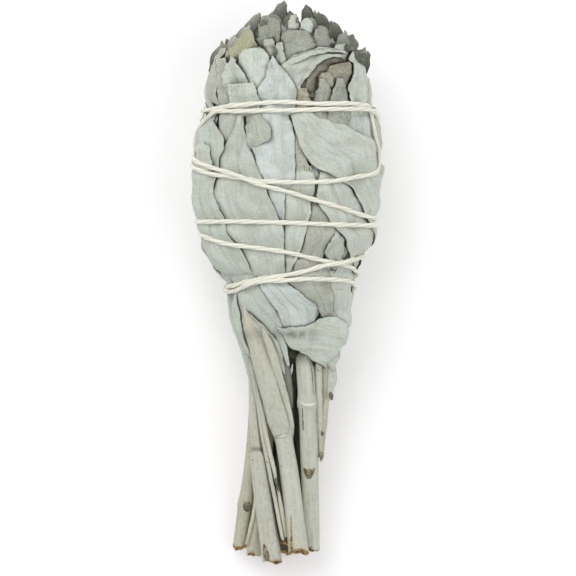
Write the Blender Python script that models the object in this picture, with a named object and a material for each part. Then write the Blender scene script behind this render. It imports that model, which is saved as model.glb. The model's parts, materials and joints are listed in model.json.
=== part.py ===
"""A dried sage bunch, lying down: packed leaves round their stems, bound with one length of twine.

The bunch lies along Y with its leafy crown at +Y, the cut stem ends at -Y and the floor at z = 0.
Tables are in millimetres, as they were measured, and MM brings them to metres.
"""

import math
import random

import bmesh
import bpy
import numpy as np
from mathutils import Vector
from mathutils.bvhtree import BVHTree

MM = 0.001

# Driving dimensions, in millimetres
BLADE_THICKNESS = 0.8
PRESSED_THICKNESS = 1.4
CLEARANCE = 0.34
CORE_SIDES = 22

# The bunch rests under its belly and on its stem ends, so its middle line slopes between the two.
BELLY_Y = 45.0
STEM_END_Y = -95.0
BELLY_AXIS_HEIGHT = 28.4
STEM_END_AXIS_HEIGHT = 12.3

# Moves the finished bunch so that the middle of its box stands over the origin.
CENTRE_SHIFT = (-0.32, 0.14)

# The leafy head: (y, middle x, half width, half thickness)
HEAD_STATIONS = (
    (-36.0, 0.6, 15.2, 11.8),
    (-24.0, 1.0, 18.0, 14.0),
    (-12.0, 1.0, 21.0, 16.4),
    (0.0, 0.5, 24.6, 19.0),
    (10.0, -1.2, 29.0, 21.8),
    (22.0, -1.2, 31.8, 24.0),
    (36.0, -1.2, 33.4, 25.4),
    (50.0, -0.3, 34.0, 25.8),
    (62.0, -0.5, 31.8, 25.2),
    (72.0, -1.0, 29.8, 23.8),
    (80.0, -0.8, 26.6, 21.4),
    (88.0, -0.2, 21.4, 17.6),
    (95.0, 1.0, 13.6, 12.0),
)

# The core of packed leaves that the outer ones stand out of: (y, depth under the leaves)
CORE_ROWS = (
    (-24.0, 8.0),
    (-22.0, 4.6),
    (-10.0, 3.2),
    (4.0, 3.2),
    (20.0, 3.2),
    (42.0, 3.2),
    (60.0, 3.2),
    (74.0, 4.4),
    (81.0, 8.0),
    (85.0, 14.0),
)

# A leaf from root to tip: (share of its length, half width as a share of its widest, rise from
# the head's outline). The camera's side has one row more than the others.
FRONT_OUTLINE = ((0.0, 0.5, -4.4), (0.3, 0.92, -2.2), (0.62, 1.0, -1.0), (0.86, 0.62, -0.2))
PLAIN_OUTLINE = ((0.0, 0.55, -4.4), (0.42, 1.0, -1.7), (0.82, 0.72, -0.3))
TIP_RISE = 0.3
BLUNT_TIP = 0.42
MIDRIB_DEPTH = 0.45
EDGE_WAVE = 0.35

# Leaves that face the camera, laid from the lowest to the uppermost: (root x, root y, tip x, tip y,
# width, level, blunt tip). A root is sunk in the core and the tip stands out.
FRONT_LEAVES = (
    (-24.0, -2.0, -31.0, 37.0, 10.0, -0.4, False),
    (-6.5, -2.0, -17.0, 38.0, 17.0, -0.2, False),
    (-0.5, 0.0, 1.0, 36.0, 9.0, -0.6, False),
    (11.0, -1.0, 9.5, 27.0, 13.0, -0.4, False),
    (20.5, 4.0, 17.5, 36.0, 11.0, 0.0, False),
    (27.5, 6.0, 26.0, 33.0, 7.0, -0.3, False),
    (-27.0, 32.0, -30.5, 60.0, 11.0, -0.4, False),
    (-8.0, 38.0, -9.5, 63.0, 10.0, -0.8, True),
    (-14.5, 30.0, -19.0, 60.5, 14.0, 0.0, False),
    (32.0, 36.0, 32.0, 62.0, 9.0, -0.2, False),
    (30.0, 26.0, 9.0, 64.0, 23.0, 0.2, False),
    (-4.0, 33.0, -6.2, 80.4, 15.5, 0.6, False),
    (14.0, 55.0, 12.0, 73.0, 6.5, 0.4, False),
    (19.0, 54.0, 17.2, 73.0, 7.0, 0.4, False),
    (26.0, 54.0, 24.0, 84.0, 10.0, 0.0, False),
    (-31.0, 54.0, -25.5, 84.0, 7.0, -0.4, False),
    (-25.0, 58.0, -23.0, 79.0, 7.0, 0.2, False),
    (-15.0, 54.0, -15.5, 71.5, 10.5, 0.4, True),
    (-1.0, 66.0, 18.5, 81.0, 11.0, 0.8, False),
    (-26.0, 8.0, -22.0, -2.0, 6.0, -0.2, True),
    (-18.0, 6.0, -11.5, -33.0, 7.0, -0.4, False),
    (-12.5, 4.0, -5.0, -24.0, 11.0, -0.2, False),
    (-4.0, 6.0, 9.0, -14.0, 11.0, 0.0, False),
    (21.0, 6.0, 17.5, -21.0, 9.0, -0.2, False),
    (-15.5, -6.0, -9.2, -22.0, 5.0, 0.4, False),
    (-3.0, -8.0, -2.5, -29.5, 8.5, -0.2, True),
    (10.5, -9.0, 12.5, -31.0, 17.0, 0.6, True),
)

# The leaves of the flanks and the underside: (y of the tips, leaves in the row, length, width),
# over the degrees that the camera doesn't face, and a last row that hangs down over the stems
HIDDEN_ROWS = (
    (82.0, 8, 24.0, 9.0),
    (70.0, 8, 26.0, 11.0),
    (56.0, 7, 30.0, 13.0),
    (40.0, 7, 30.0, 13.0),
    (24.0, 6, 28.0, 12.0),
    (8.0, 6, 26.0, 10.0),
    (-8.0, 5, 22.0, 9.0),
    (-33.0, 5, -24.0, 8.5),
)
HIDDEN_FROM = 72.0
HIDDEN_TO = 288.0
LOWEST_ROOT_Y = -21.0
BLUNT_SHARE = 0.2

# Leaves of the crown that face the camera: (tip x, tip y, tip z above the middle line, width,
# length, curl)
CROWN_LEAVES = (
    (-2.1, 100.0, 3.0, 9.0, 26.0, -2.0),
    (5.7, 98.6, 2.0, 8.0, 26.0, 2.0),
    (11.4, 95.8, 5.0, 8.0, 24.0, -2.0),
    (16.8, 92.6, 8.0, 8.0, 24.0, 2.5),
    (-11.0, 95.6, 3.0, 9.0, 24.0, 2.0),
    (-8.7, 94.0, 8.0, 9.0, 22.0, 3.0),
    (-17.2, 89.8, 9.0, 9.0, 22.0, 2.0),
    (3.0, 90.0, 14.5, 11.0, 22.0, 1.0),
    (7.2, 94.2, 8.5, 7.5, 22.0, 2.0),
    (12.4, 91.0, 11.5, 7.5, 22.0, 1.5),
    (18.2, 90.2, 5.0, 9.0, 22.0, 3.0),
    (-7.4, 86.6, 15.5, 6.0, 16.0, 1.5),
    (-3.0, 85.6, 17.0, 5.0, 16.0, 1.0),
    (-12.0, 83.8, 16.8, 11.5, 20.0, 1.0),
    (-19.6, 80.0, 15.0, 8.5, 18.0, 1.0),
    (15.0, 79.5, 18.0, 8.0, 16.0, 2.0),
    (20.5, 82.0, 14.5, 7.0, 18.0, 1.5),
)

# The crown's other leaves stand in rings: (leaves, distance from the middle as a share of the
# crown's reach, y of the tips, length). The rings leave out what the leaves above fill.
CROWN_RINGS = ((3, 0.22, 95.0, 24.0), (7, 0.50, 92.5, 24.0), (9, 0.78, 86.0, 22.0))
CROWN_REACH = (27.0, 23.0)
CAMERA_SIDE = 0.30
CROWN_SPREAD = 0.30
CROWN_CUP = 0.16

# The leaf pressed flat under the belly, which the bunch rests on: (y, half width, z). The floor
# trims its underside flat.
PRESSED_LEAF = (
    (66.0, 5.0, 14.0),
    (56.0, 7.0, 8.0),
    (47.4, 9.0, 3.4),
    (43.8, 10.0, -0.4),
    (36.0, 11.0, -0.4),
    (30.0, 8.0, -0.4),
    (26.8, 3.0, -0.4),
)

# Stems: (radius at the head, radius at the cut end, y of the cut end, then x and height over the
# middle line at the head, at the neck and at the cut end, y of the joint where leaves grew or None)
HEAD_Y = -26.0
NECK_Y = -50.0
STEM_TOP_Y = -12.0
STEMS = (
    (3.2, 3.7, -96.5, (-10.6, 5.7), (-3.2, 5.8), (3.6, 5.9), -53.5),
    (3.1, 3.2, -95.6, (5.5, 5.2), (6.9, 4.6), (8.0, 0.1), -43.4),
    (1.9, 3.4, -99.8, (-13.2, -1.0), (-12.3, 3.4), (-6.0, 4.7), None),
    (2.4, 2.6, -95.0, (-11.6, -6.4), (-12.0, -2.7), (-17.6, -5.8), -79.0),
    (2.4, 2.5, -97.6, (-5.8, -0.8), (-7.3, 0.0), (-12.6, -2.7), None),
    (1.3, 1.3, -62.0, (15.2, 1.4), (12.3, 1.8), (11.2, -0.3), -50.5),
    (3.0, 3.2, -93.5, (0.2, -1.2), (-1.2, -2.3), (-2.0, -2.5), -70.0),
    (3.0, 3.0, -96.0, (7.6, -3.3), (6.3, -3.4), (4.9, -6.9), -61.0),
    (3.2, 3.3, -94.0, (-5.2, -7.3), (-6.4, -6.7), (-8.3, -7.2), -84.0),
    (2.7, 2.8, -97.0, (2.3, -8.2), (1.6, -8.4), (-2.0, -9.6), -75.0),
)
STEM_RING_YS = (STEM_TOP_Y, HEAD_Y, -38.0, NECK_Y, -62.0, -73.0, -84.0)
STEM_SIDES = 8
SQUARENESS = 0.10
JOINT_SWELL = 0.16
JOINT_HALF_LENGTH = 2.4
END_RAGGEDNESS = 0.9
TURN_PER_LENGTH = 0.4

# The twine, and its route. "over" points give x and y as the camera sees them on the upper side;
# "round" points give degrees round the bunch, with 0 on top and 90 at +X, and y.
TWINE_DIAMETER = 1.5
TWINE_STEP = 5.2
FINE_STEP = 1.3
PROBE = 0.9
BEND_ALLOWANCE = 0.1
CROSSING_ALLOWANCE = 0.15
TAUT_ROUNDS = 200
TWINE_ROUTE = (
    ("round", -250, 54.6),
    ("round", -215, 56.0),
    ("round", -180, 57.2),
    ("round", -130, 60.4),
    ("over", -30.6, 62.4),
    ("over", -17.8, 63.3),
    ("over", -2.8, 64.8),
    ("over", 9.7, 64.3),
    ("over", 23.0, 64.2),
    ("round", 70, 62.8),
    ("round", 82, 56.0),
    ("round", 88, 48.0),
    ("round", 80, 41.4),
    ("over", 23.2, 37.3),
    ("over", 13.9, 35.8),
    ("over", 5.0, 35.5),
    ("over", -8.9, 35.8),
    ("over", -21.0, 37.5),
    ("over", -27.1, 38.3),
    ("round", -78, 42.4),
    ("round", -120, 47.4),
    ("round", -180, 50.0),
    ("round", -232, 46.2),
    ("round", -258, 42.6),
    ("round", -265, 50.0),
    ("round", -275, 57.0),
    ("over", 28.0, 61.8),
    ("over", 18.6, 62.4),
    ("over", 9.7, 62.4),
    ("over", 2.5, 62.3),
    ("over", -8.5, 61.5),
    ("over", -17.8, 61.1),
    ("over", -29.6, 60.2),
    ("round", -442, 55.0),
    ("round", -446, 48.0),
    ("over", -32.2, 43.6),
    ("over", -27.8, 40.9),
    ("over", -17.8, 37.7),
    ("over", -8.9, 34.4),
    ("over", 0.4, 31.9),
    ("over", 9.7, 29.1),
    ("over", 18.6, 26.4),
    ("over", 26.8, 23.4),
    ("round", -262, 22.6),
    ("round", -180, 23.4),
    ("round", -100, 22.4),
    ("over", -30.0, 21.6),
    ("over", -17.8, 21.6),
    ("over", -1.7, 21.2),
    ("over", 7.2, 20.9),
    ("over", 16.4, 20.5),
    ("over", 27.0, 20.3),
    ("round", 96, 19.4),
    ("round", 180, 17.6),
    ("round", 256, 17.4),
    ("over", -29.4, 16.6),
    ("over", -22.5, 13.9),
    ("over", -11.7, 12.3),
    ("over", -1.8, 10.9),
    ("over", 7.2, 8.9),
    ("over", 17.7, 6.6),
    ("over", 23.2, 5.2),
    ("round", 440, 3.8),
    ("round", 540, 1.0),
    ("round", 622, -1.6),
    ("over", -20.5, -1.0),
    ("over", -12.0, 0.8),
    ("over", -1.8, 2.5),
    ("over", 5.0, 3.9),
    ("over", 11.8, 5.9),
    ("over", 18.6, 7.2),
    ("round", 796, 9.2),
    ("round", 850, 9.6),
    ("round", 910, 5.0),
    ("round", 975, -1.8),
    ("over", -21.2, -3.2),
    ("over", -15.7, -1.6),
    ("over", -8.7, 0.4),
    ("over", -1.8, 0.7),
    ("over", 5.0, 1.2),
    ("over", 11.8, 1.2),
    ("over", 21.6, 0.4),
    ("round", 1168, -1.4),
    ("round", 1198, -2.6),
)


def smooth_through(at, stations, values):
    """Reads a smooth curve through the stations: a cubic between each two, with the slopes that
    their neighbours give."""
    stations = np.asarray(stations, float)
    values = np.asarray(values, float)
    slopes = np.gradient(values, stations)
    at = np.clip(np.asarray(at, float), stations[0], stations[-1])
    index = np.clip(np.searchsorted(stations, at) - 1, 0, len(stations) - 2)
    span = stations[index + 1] - stations[index]
    t = (at - stations[index]) / span
    start = values[index] * (1 + 2 * t) * (1 - t) ** 2 + slopes[index] * span * t * (1 - t) ** 2
    end = values[index + 1] * t**2 * (3 - 2 * t) + slopes[index + 1] * span * t**2 * (t - 1)
    return start + end


def axis_height(y):
    """The height of the middle line, which slopes from the belly down to the stem ends."""
    slope = (BELLY_AXIS_HEIGHT - STEM_END_AXIS_HEIGHT) / (BELLY_Y - STEM_END_Y)
    return STEM_END_AXIS_HEIGHT + slope * (np.asarray(y, float) - STEM_END_Y)


def head_section(y):
    """The leafy head's middle x, middle z, half width and half thickness at y."""
    table = np.array(HEAD_STATIONS)
    middle, width, thickness = (smooth_through(y, table[:, 0], table[:, k]) for k in (1, 2, 3))
    return middle, axis_height(y), width, thickness


def on_head(angle, y, lift):
    """Points at an angle round the head, 0 on top, raised by lift from its outline."""
    middle, height, width, thickness = head_section(y)
    x = middle + (width + lift) * np.sin(angle)
    z = height + (thickness + lift) * np.cos(angle)
    return np.stack(np.broadcast_arrays(x, y, z), axis=-1)


def angle_over(x, y):
    """The angle round the head of a point that the camera, straight above, sees at x and y."""
    middle, _, width, _ = head_section(y)
    return float(np.arcsin(np.clip((x - middle) / width, -0.985, 0.985)))


def new_collection(name):
    collection = bpy.data.collections.new(name)
    bpy.context.scene.collection.children.link(collection)
    return collection


def link(data, name, collection=None):
    obj = bpy.data.objects.new(name, data)
    (collection or bpy.context.scene.collection).objects.link(obj)
    return obj


def finish_mesh(bm, name):
    bmesh.ops.recalc_face_normals(bm, faces=bm.faces)
    mesh = bpy.data.meshes.new(name)
    bm.to_mesh(mesh)
    bm.free()
    return mesh


def lofted_mesh(name, rows):
    """A closed solid through rings of points, with a flat face at each end."""
    bm = bmesh.new()
    rings = [[bm.verts.new(Vector(point) * MM) for point in row] for row in rows]
    for lower, upper in zip(rings, rings[1:]):
        count = len(lower)
        for i in range(count):
            j = (i + 1) % count
            bm.faces.new((lower[i], lower[j], upper[j], upper[i]))
    bm.faces.new(rings[0][::-1])
    bm.faces.new(rings[-1])
    bmesh.ops.triangulate(bm, faces=bm.faces)
    return finish_mesh(bm, name)


def blade(name, points, collection, thickness=BLADE_THICKNESS):
    """A leaf blade: a sheet through rows of points, split into triangles before it is thickened,
    so that both faces have the same ones."""
    bm = bmesh.new()
    rows = [[bm.verts.new(Vector(point) * MM) for point in row] for row in points]
    for lower, upper in zip(rows, rows[1:]):
        for i in range(len(lower) - 1):
            if len(upper) == 1:
                bm.faces.new((lower[i], lower[i + 1], upper[0]))
            elif i < len(lower) // 2:
                bm.faces.new((lower[i], lower[i + 1], upper[i + 1]))
                bm.faces.new((lower[i], upper[i + 1], upper[i]))
            else:
                bm.faces.new((lower[i], lower[i + 1], upper[i]))
                bm.faces.new((lower[i + 1], upper[i + 1], upper[i]))
    bm.normal_update()
    sheet = bm.faces[:] + bm.edges[:] + bm.verts[:]
    bmesh.ops.solidify(bm, geom=sheet, thickness=thickness * MM)
    bmesh.ops.triangulate(bm, faces=[face for face in bm.faces if len(face.verts) > 3])
    return link(finish_mesh(bm, name), name, collection)


def laid_leaf(name, root, tip, width, level, blunt, outline, collection):
    """A leaf that lies along the head, from root to tip, each an angle round it and a y. Its root
    is sunk in the core, its midrib is a shallow crease, its edges wave and its tip stands out."""
    root_angle, root_y = root
    tip_angle, tip_y = tip
    middle_angle = (root_angle + tip_angle) / 2
    _, _, half_width, half_thickness = head_section((root_y + tip_y) / 2)
    radius = math.hypot(half_width * math.cos(middle_angle), half_thickness * math.sin(middle_angle))
    run = Vector(((tip_angle - root_angle) * radius, tip_y - root_y))
    across = Vector((run.y, -run.x)).normalized()

    def point(share, half, rise, side):
        offset = across * (side * half * width / 2)
        angle = root_angle + (tip_angle - root_angle) * share + offset.x / radius
        y = root_y + (tip_y - root_y) * share + offset.y
        wave = EDGE_WAVE * math.sin(9 * share + 2 * side + tip_y) if side else -MIDRIB_DEPTH
        return on_head(angle, y, rise + level + wave)

    rows = [[point(*row, side) for side in (-1, 0, 1)] for row in outline]
    if blunt:
        rows.append([point(1.0, BLUNT_TIP, TIP_RISE, side) for side in (-1, 0, 1)])
    else:
        rows.append([point(1.0, 0.0, TIP_RISE, 0)])
    return blade(name, rows, collection)


def front_leaves(collection):
    for index, (root_x, root_y, tip_x, tip_y, width, level, blunt) in enumerate(FRONT_LEAVES):
        root = (angle_over(root_x, root_y), root_y)
        tip = (angle_over(tip_x, tip_y), tip_y)
        laid_leaf(f"front_{index}", root, tip, width, level, blunt, FRONT_OUTLINE, collection)


def hidden_leaves(collection):
    """Rows of leaves round the flanks and the underside, each row set between the leaves of the
    row above it."""
    draw = random.Random(7)
    for row, (tip_y, count, length, width) in enumerate(HIDDEN_ROWS):
        for index in range(count):
            share = (index + (0.25 if row % 2 else 0.75)) / count
            angle = math.radians(HIDDEN_FROM + (HIDDEN_TO - HIDDEN_FROM) * share)
            angle += math.radians(draw.uniform(-5, 5))
            end = tip_y + draw.uniform(-3, 3)
            root_angle = angle + math.radians(draw.uniform(-9, 9))
            leaf_width = width * draw.uniform(0.85, 1.15)
            level = draw.uniform(-0.8, 0.1)
            blunt = draw.random() < BLUNT_SHARE
            root = (root_angle, max(end - length, LOWEST_ROOT_Y))
            name = f"hidden_{row}_{index}"
            laid_leaf(name, root, (angle, end), leaf_width, level, blunt, PLAIN_OUTLINE, collection)


def crown_leaf(name, tip, length, width, curl, collection):
    """A leaf of the crown: it stands along the bunch, its root in the core, and bows outwards
    (curl above 0) or inwards, with its edges turned in."""
    middle, height, _, _ = head_section(tip.y)
    outward = Vector((tip.x - float(middle), 0.0, tip.z - float(height)))
    spread = min(outward.length / CROWN_REACH[0], 1.0)
    outward = outward.normalized() if outward.length > 1.0 else Vector((0.0, 0.0, 1.0))
    along = (Vector((0.0, 1.0, 0.0)) + outward * CROWN_SPREAD * spread).normalized()
    across = along.cross(outward).normalized()
    root = tip - along * length
    rows = []
    for share, half, _ in PLAIN_OUTLINE:
        centre = root + along * (length * share) + outward * (2 * curl * share * (1 - share))
        turned_in = outward * (CROWN_CUP * width * half)
        aside = across * (half * width / 2)
        rows.append([centre - aside - turned_in, centre, centre + aside - turned_in])
    rows.append([tip])
    return blade(name, rows, collection)


def crown_leaves(collection):
    for index, (x, y, rise, width, length, curl) in enumerate(CROWN_LEAVES):
        tip = Vector((x, y, float(axis_height(y)) + rise))
        crown_leaf(f"crown_{index}", tip, length, width, curl, collection)
    draw = random.Random(11)
    for ring, (count, share, tip_y, length) in enumerate(CROWN_RINGS):
        for index in range(count):
            angle = 2 * math.pi * (index + 0.5 * (ring % 2)) / count + draw.uniform(-0.15, 0.15)
            y = tip_y + draw.uniform(-2.0, 2.0)
            width = draw.uniform(7.5, 10.0)
            curl = draw.uniform(-2.0, 3.0)
            if math.cos(angle) > CAMERA_SIDE:
                continue
            x = CROWN_REACH[0] * share * math.sin(angle)
            z = float(axis_height(y)) + CROWN_REACH[1] * share * math.cos(angle)
            crown_leaf(f"ring_{ring}_{index}", Vector((x, y, z)), length, width, curl, collection)


def pressed_leaf(collection):
    rows = [[(side * half, y, z) for side in (-1, 0, 1)] for y, half, z in PRESSED_LEAF]
    return blade("pressed", rows, collection, PRESSED_THICKNESS)


def leaf_core():
    """The packed leaves inside the head, closed with a small face at each end."""
    angles = np.linspace(0, 2 * math.pi, CORE_SIDES, endpoint=False)
    rows = [on_head(angles, np.full(CORE_SIDES, y), -depth) for y, depth in CORE_ROWS]
    return link(lofted_mesh("leaf_head", rows), "leaf_head")


def apply_boolean(obj, collection, operation):
    """Joins or cuts with every object of the collection, and removes them."""
    boolean = obj.modifiers.new(operation.lower(), "BOOLEAN")
    boolean.operation = operation
    boolean.operand_type = "COLLECTION"
    boolean.collection = collection
    boolean.solver = "EXACT"
    graph = bpy.context.evaluated_depsgraph_get()
    mesh = bpy.data.meshes.new_from_object(obj.evaluated_get(graph))
    obj.modifiers.clear()
    obj.data = mesh
    for used in list(collection.objects):
        bpy.data.objects.remove(used, do_unlink=True)
    bpy.data.collections.remove(collection)


def keep_largest_body(mesh):
    """Drops loose scraps and the walls of sealed hollows, so that one closed body is left."""
    bm = bmesh.new()
    bm.from_mesh(mesh)
    bmesh.ops.triangulate(bm, faces=bm.faces)
    unseen = set(bm.faces)
    bodies = []
    while unseen:
        body = [unseen.pop()]
        for face in body:
            for edge in face.edges:
                for other in edge.link_faces:
                    if other in unseen:
                        unseen.remove(other)
                        body.append(other)
        corners = ([vert.co for vert in face.verts] for face in body)
        bodies.append((sum(a.dot(b.cross(c)) for a, b, c in corners), body))
    kept = set(max(bodies, key=lambda pair: pair[0])[1])
    bmesh.ops.delete(bm, geom=[face for face in bm.faces if face not in kept], context="FACES")
    bm.to_mesh(mesh)
    bm.free()


def stem_rows(spec, grow, top_y):
    """Rings of points along a stem, its radius enlarged by grow. The section is a square with
    rounded corners, as sage stems have, and it swells at the joint."""
    head_radius, end_radius, end_y, at_head, at_neck, at_end, joint_y = spec
    ys = {top_y, end_y, *(y for y in STEM_RING_YS[1:] if y > end_y)}
    if joint_y is not None:
        ys |= {joint_y + JOINT_HALF_LENGTH, joint_y, joint_y - JOINT_HALF_LENGTH}
    marks = (end_y, NECK_Y, HEAD_Y)
    xs, rises = np.array((at_end, at_neck, at_head)).T
    lean_above = (xs[2] - xs[1]) / (HEAD_Y - NECK_Y) / 2
    rows = []
    for y in sorted(ys, reverse=True):
        below = min(y, HEAD_Y)
        x = float(smooth_through(below, marks, xs)) + (y - below) * lean_above
        z = float(axis_height(y)) + float(smooth_through(below, marks, rises))
        share = (below - end_y) / (HEAD_Y - end_y)
        radius = end_radius + (head_radius - end_radius) * share
        radius *= 1 + JOINT_SWELL if y == joint_y else 1
        row = []
        for k in range(STEM_SIDES):
            angle = TURN_PER_LENGTH * end_y + 2 * math.pi * k / STEM_SIDES
            corner = radius * (1.0 if k % 2 else 1.0 - SQUARENESS) + grow
            row.append((x + corner * math.cos(angle), y, z + corner * math.sin(angle)))
        rows.append(row)
    return rows


def stem(index, spec):
    """A stem with a ragged cut end, flattened where it lies on the floor."""
    draw = random.Random(100 + index)
    rows = stem_rows(spec, 0.0, STEM_TOP_Y)
    rows[-1] = [(x, y + draw.uniform(-END_RAGGEDNESS, END_RAGGEDNESS), z) for x, y, z in rows[-1]]
    rows = [[(x, y, max(z, 0.0)) for x, y, z in row] for row in rows]
    name = f"stem_{index + 1:02d}"
    return link(lofted_mesh(name, rows), name)


def stem_holes():
    """The plain holes that the stems stand in, each wider than its stem by the clearance."""
    holes = new_collection("stem_holes")
    for index, spec in enumerate(STEMS):
        rows = stem_rows(spec, CLEARANCE, STEM_TOP_Y + CLEARANCE)
        link(lofted_mesh(f"hole_{index}", rows), f"hole_{index}", holes)
    return holes


def below_floor():
    """The space under the floor, which trims the pressed leaf flat."""
    bm = bmesh.new()
    bmesh.ops.create_cube(bm, size=1.0)
    bmesh.ops.scale(bm, vec=(120 * MM, 260 * MM, 20 * MM), verts=bm.verts)
    bmesh.ops.translate(bm, vec=(0, 0, -10 * MM), verts=bm.verts)
    under = new_collection("below_floor")
    link(finish_mesh(bm, "below_floor"), "below_floor", under)
    return under


def leaf_head():
    core = leaf_core()
    leaves = new_collection("leaves")
    front_leaves(leaves)
    hidden_leaves(leaves)
    crown_leaves(leaves)
    pressed_leaf(leaves)
    apply_boolean(core, leaves, "UNION")
    keep_largest_body(core.data)
    apply_boolean(core, stem_holes(), "DIFFERENCE")
    apply_boolean(core, below_floor(), "DIFFERENCE")
    keep_largest_body(core.data)
    return core


def route_points():
    """The twine's route as angles that run on without a break, and ys."""
    angles, ys = [], []
    for kind, first, y in TWINE_ROUTE:
        if kind == "round":
            angle = math.radians(first)
        else:
            angle = angle_over(first, y)
            angle += 2 * math.pi * round((angles[-1] - angle) / (2 * math.pi))
        angles.append(angle)
        ys.append(y)
    return np.array(angles), np.array(ys)


def taut(needed, middle, outward):
    """Pulls the twine straight between the places where it touches: each point goes to the middle
    of its neighbours, but never nearer to the head's middle line than it needs to be."""
    rho = needed.copy()
    for _ in range(TAUT_ROUNDS):
        points = middle + rho[:, None] * outward
        halfway = (points[:-2] + points[2:]) / 2
        reach = np.einsum("ij,ij->i", halfway - middle[1:-1], outward[1:-1])
        rho[1:-1] = np.maximum(needed[1:-1], reach)
    return rho


def reach_of_leaves(head_mesh, middle, outward):
    """How far from the middle line the leaves reach at each point of the route, felt with a patch
    of rays as wide as the twine."""
    corners = [vert.co / MM for vert in head_mesh.vertices]
    tree = BVHTree.FromPolygons(corners, [list(face.vertices) for face in head_mesh.polygons])
    start = 80.0
    sideways = np.cross(outward, (0.0, 1.0, 0.0))
    reach = np.zeros(len(middle))
    shifts = [(x, y) for x in (-PROBE, 0.0, PROBE) for y in (-PROBE, 0.0, PROBE)]
    for i, (foot, way, side) in enumerate(zip(middle, outward, sideways)):
        for shift_x, shift_y in shifts:
            origin = foot + way * start + side * shift_x + np.array((0.0, shift_y, 0.0))
            distance = tree.ray_cast(Vector(origin), Vector(-way))[3]
            if distance is not None:
                reach[i] = max(reach[i], start - distance)
    return reach


def highest_nearby(reach):
    """The highest reach within half a step of the twine each way, so that a straight step of the
    twine clears what lies between its ends."""
    count = round(TWINE_STEP / FINE_STEP) // 2 + 1
    padded = np.pad(reach, count, mode="edge")
    return np.max([padded[k : k + len(reach)] for k in range(2 * count + 1)], axis=0)


def over_crossings(needed, rho, middle, outward):
    """Raises each point that passes over an earlier turn until the two clear each other."""
    apart = TWINE_DIAMETER + CLEARANCE + CROSSING_ALLOWANCE
    nearest_turn = int(4 * apart / FINE_STEP)
    lifted = needed.copy()
    points = middle + rho[:, None] * outward
    for i in range(nearest_turn, len(points)):
        gap = points[: i - nearest_turn] - points[i]
        along = gap @ outward[i]
        aside = np.sqrt(np.maximum((gap**2).sum(axis=1) - along**2, 0.0))
        near = (aside < apart) & (np.abs(along) < 4 * apart)
        if near.any():
            over = rho[i] + along[near] + np.sqrt(apart**2 - aside[near] ** 2)
            lifted[i] = max(lifted[i], over.max())
    return lifted


def twine_points(head_mesh):
    """The middle of the twine, laid on the leaves and pulled taut, each later turn lifted over the
    turns that it crosses."""
    angles, ys = route_points()
    mean_radius = HEAD_STATIONS[4][2]
    marks = np.concatenate([[0.0], np.cumsum(np.hypot(np.diff(angles) * mean_radius, np.diff(ys)))])
    at = np.linspace(0, marks[-1], int(marks[-1] / FINE_STEP))
    angle = smooth_through(at, marks, angles)
    y = smooth_through(at, marks, ys)
    middle_x, middle_z, width, thickness = head_section(y)
    middle = np.stack([middle_x, y, middle_z], axis=1)
    outward = np.stack([width * np.sin(angle), np.zeros_like(y), thickness * np.cos(angle)], axis=1)
    outward /= np.linalg.norm(outward, axis=1)[:, None]
    felt = reach_of_leaves(head_mesh, middle, outward)
    needed = highest_nearby(felt) + TWINE_DIAMETER / 2 + CLEARANCE + BEND_ALLOWANCE
    rho = taut(needed, middle, outward)
    for _ in range(2):
        rho = taut(over_crossings(needed, rho, middle, outward), middle, outward)
    points = middle + rho[:, None] * outward
    points[:, 2] = np.maximum(points[:, 2], TWINE_DIAMETER / 2 + CLEARANCE)
    return points[:: round(TWINE_STEP / FINE_STEP)]


def twine(head_mesh):
    points = twine_points(head_mesh)
    curve = bpy.data.curves.new("twine", "CURVE")
    curve.dimensions = "3D"
    curve.bevel_depth = TWINE_DIAMETER / 2 * MM
    curve.bevel_resolution = 1
    curve.use_fill_caps = True
    spline = curve.splines.new("POLY")
    spline.points.add(len(points) - 1)
    for target, point in zip(spline.points, points):
        target.co = (*(point * MM), 1.0)
    return link(curve, "twine")


def material(name, colour, roughness):
    made = bpy.data.materials.new(name)
    made.use_nodes = True
    shader = made.node_tree.nodes["Principled BSDF"]
    shader.inputs["Base Color"].default_value = (*colour, 1.0)
    shader.inputs["Roughness"].default_value = roughness
    shader.inputs["Metallic"].default_value = 0.0
    made.diffuse_color = (*colour, 1.0)
    return made


def main():
    for obj in list(bpy.data.objects):
        bpy.data.objects.remove(obj, do_unlink=True)
    leaf_finish = material("sage_leaf", (0.56, 0.62, 0.55), 0.85)
    stem_finish = material("sage_stem", (0.52, 0.53, 0.44), 0.8)
    twine_finish = material("cotton_twine", (0.80, 0.77, 0.66), 0.9)
    head = leaf_head()
    head.data.materials.clear()
    head.data.materials.append(leaf_finish)
    binding = twine(head.data)
    binding.data.materials.append(twine_finish)
    stems = [stem(index, spec) for index, spec in enumerate(STEMS)]
    for one in stems:
        one.data.materials.append(stem_finish)
        one.data.shade_smooth()
        one.data.set_sharp_from_angle(angle=math.radians(40))
    for obj in [head, binding, *stems]:
        obj.location = (CENTRE_SHIFT[0] * MM, CENTRE_SHIFT[1] * MM, 0.0)


main()
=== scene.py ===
# %% [markdown]
# # A dried sage bunch, bound with twine
# White sage is cut with its stems, laid together and bound with one length of cotton twine while
# it is still soft. As it dries the leaves press flat against each other and curl at the crown.
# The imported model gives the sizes. Here every leaf becomes a thin two-sided blade that lies on the
# blades under it, every stem gets its joints, grooves and ragged cut, and the twine its three plies.

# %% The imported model
import json
import math

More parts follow.
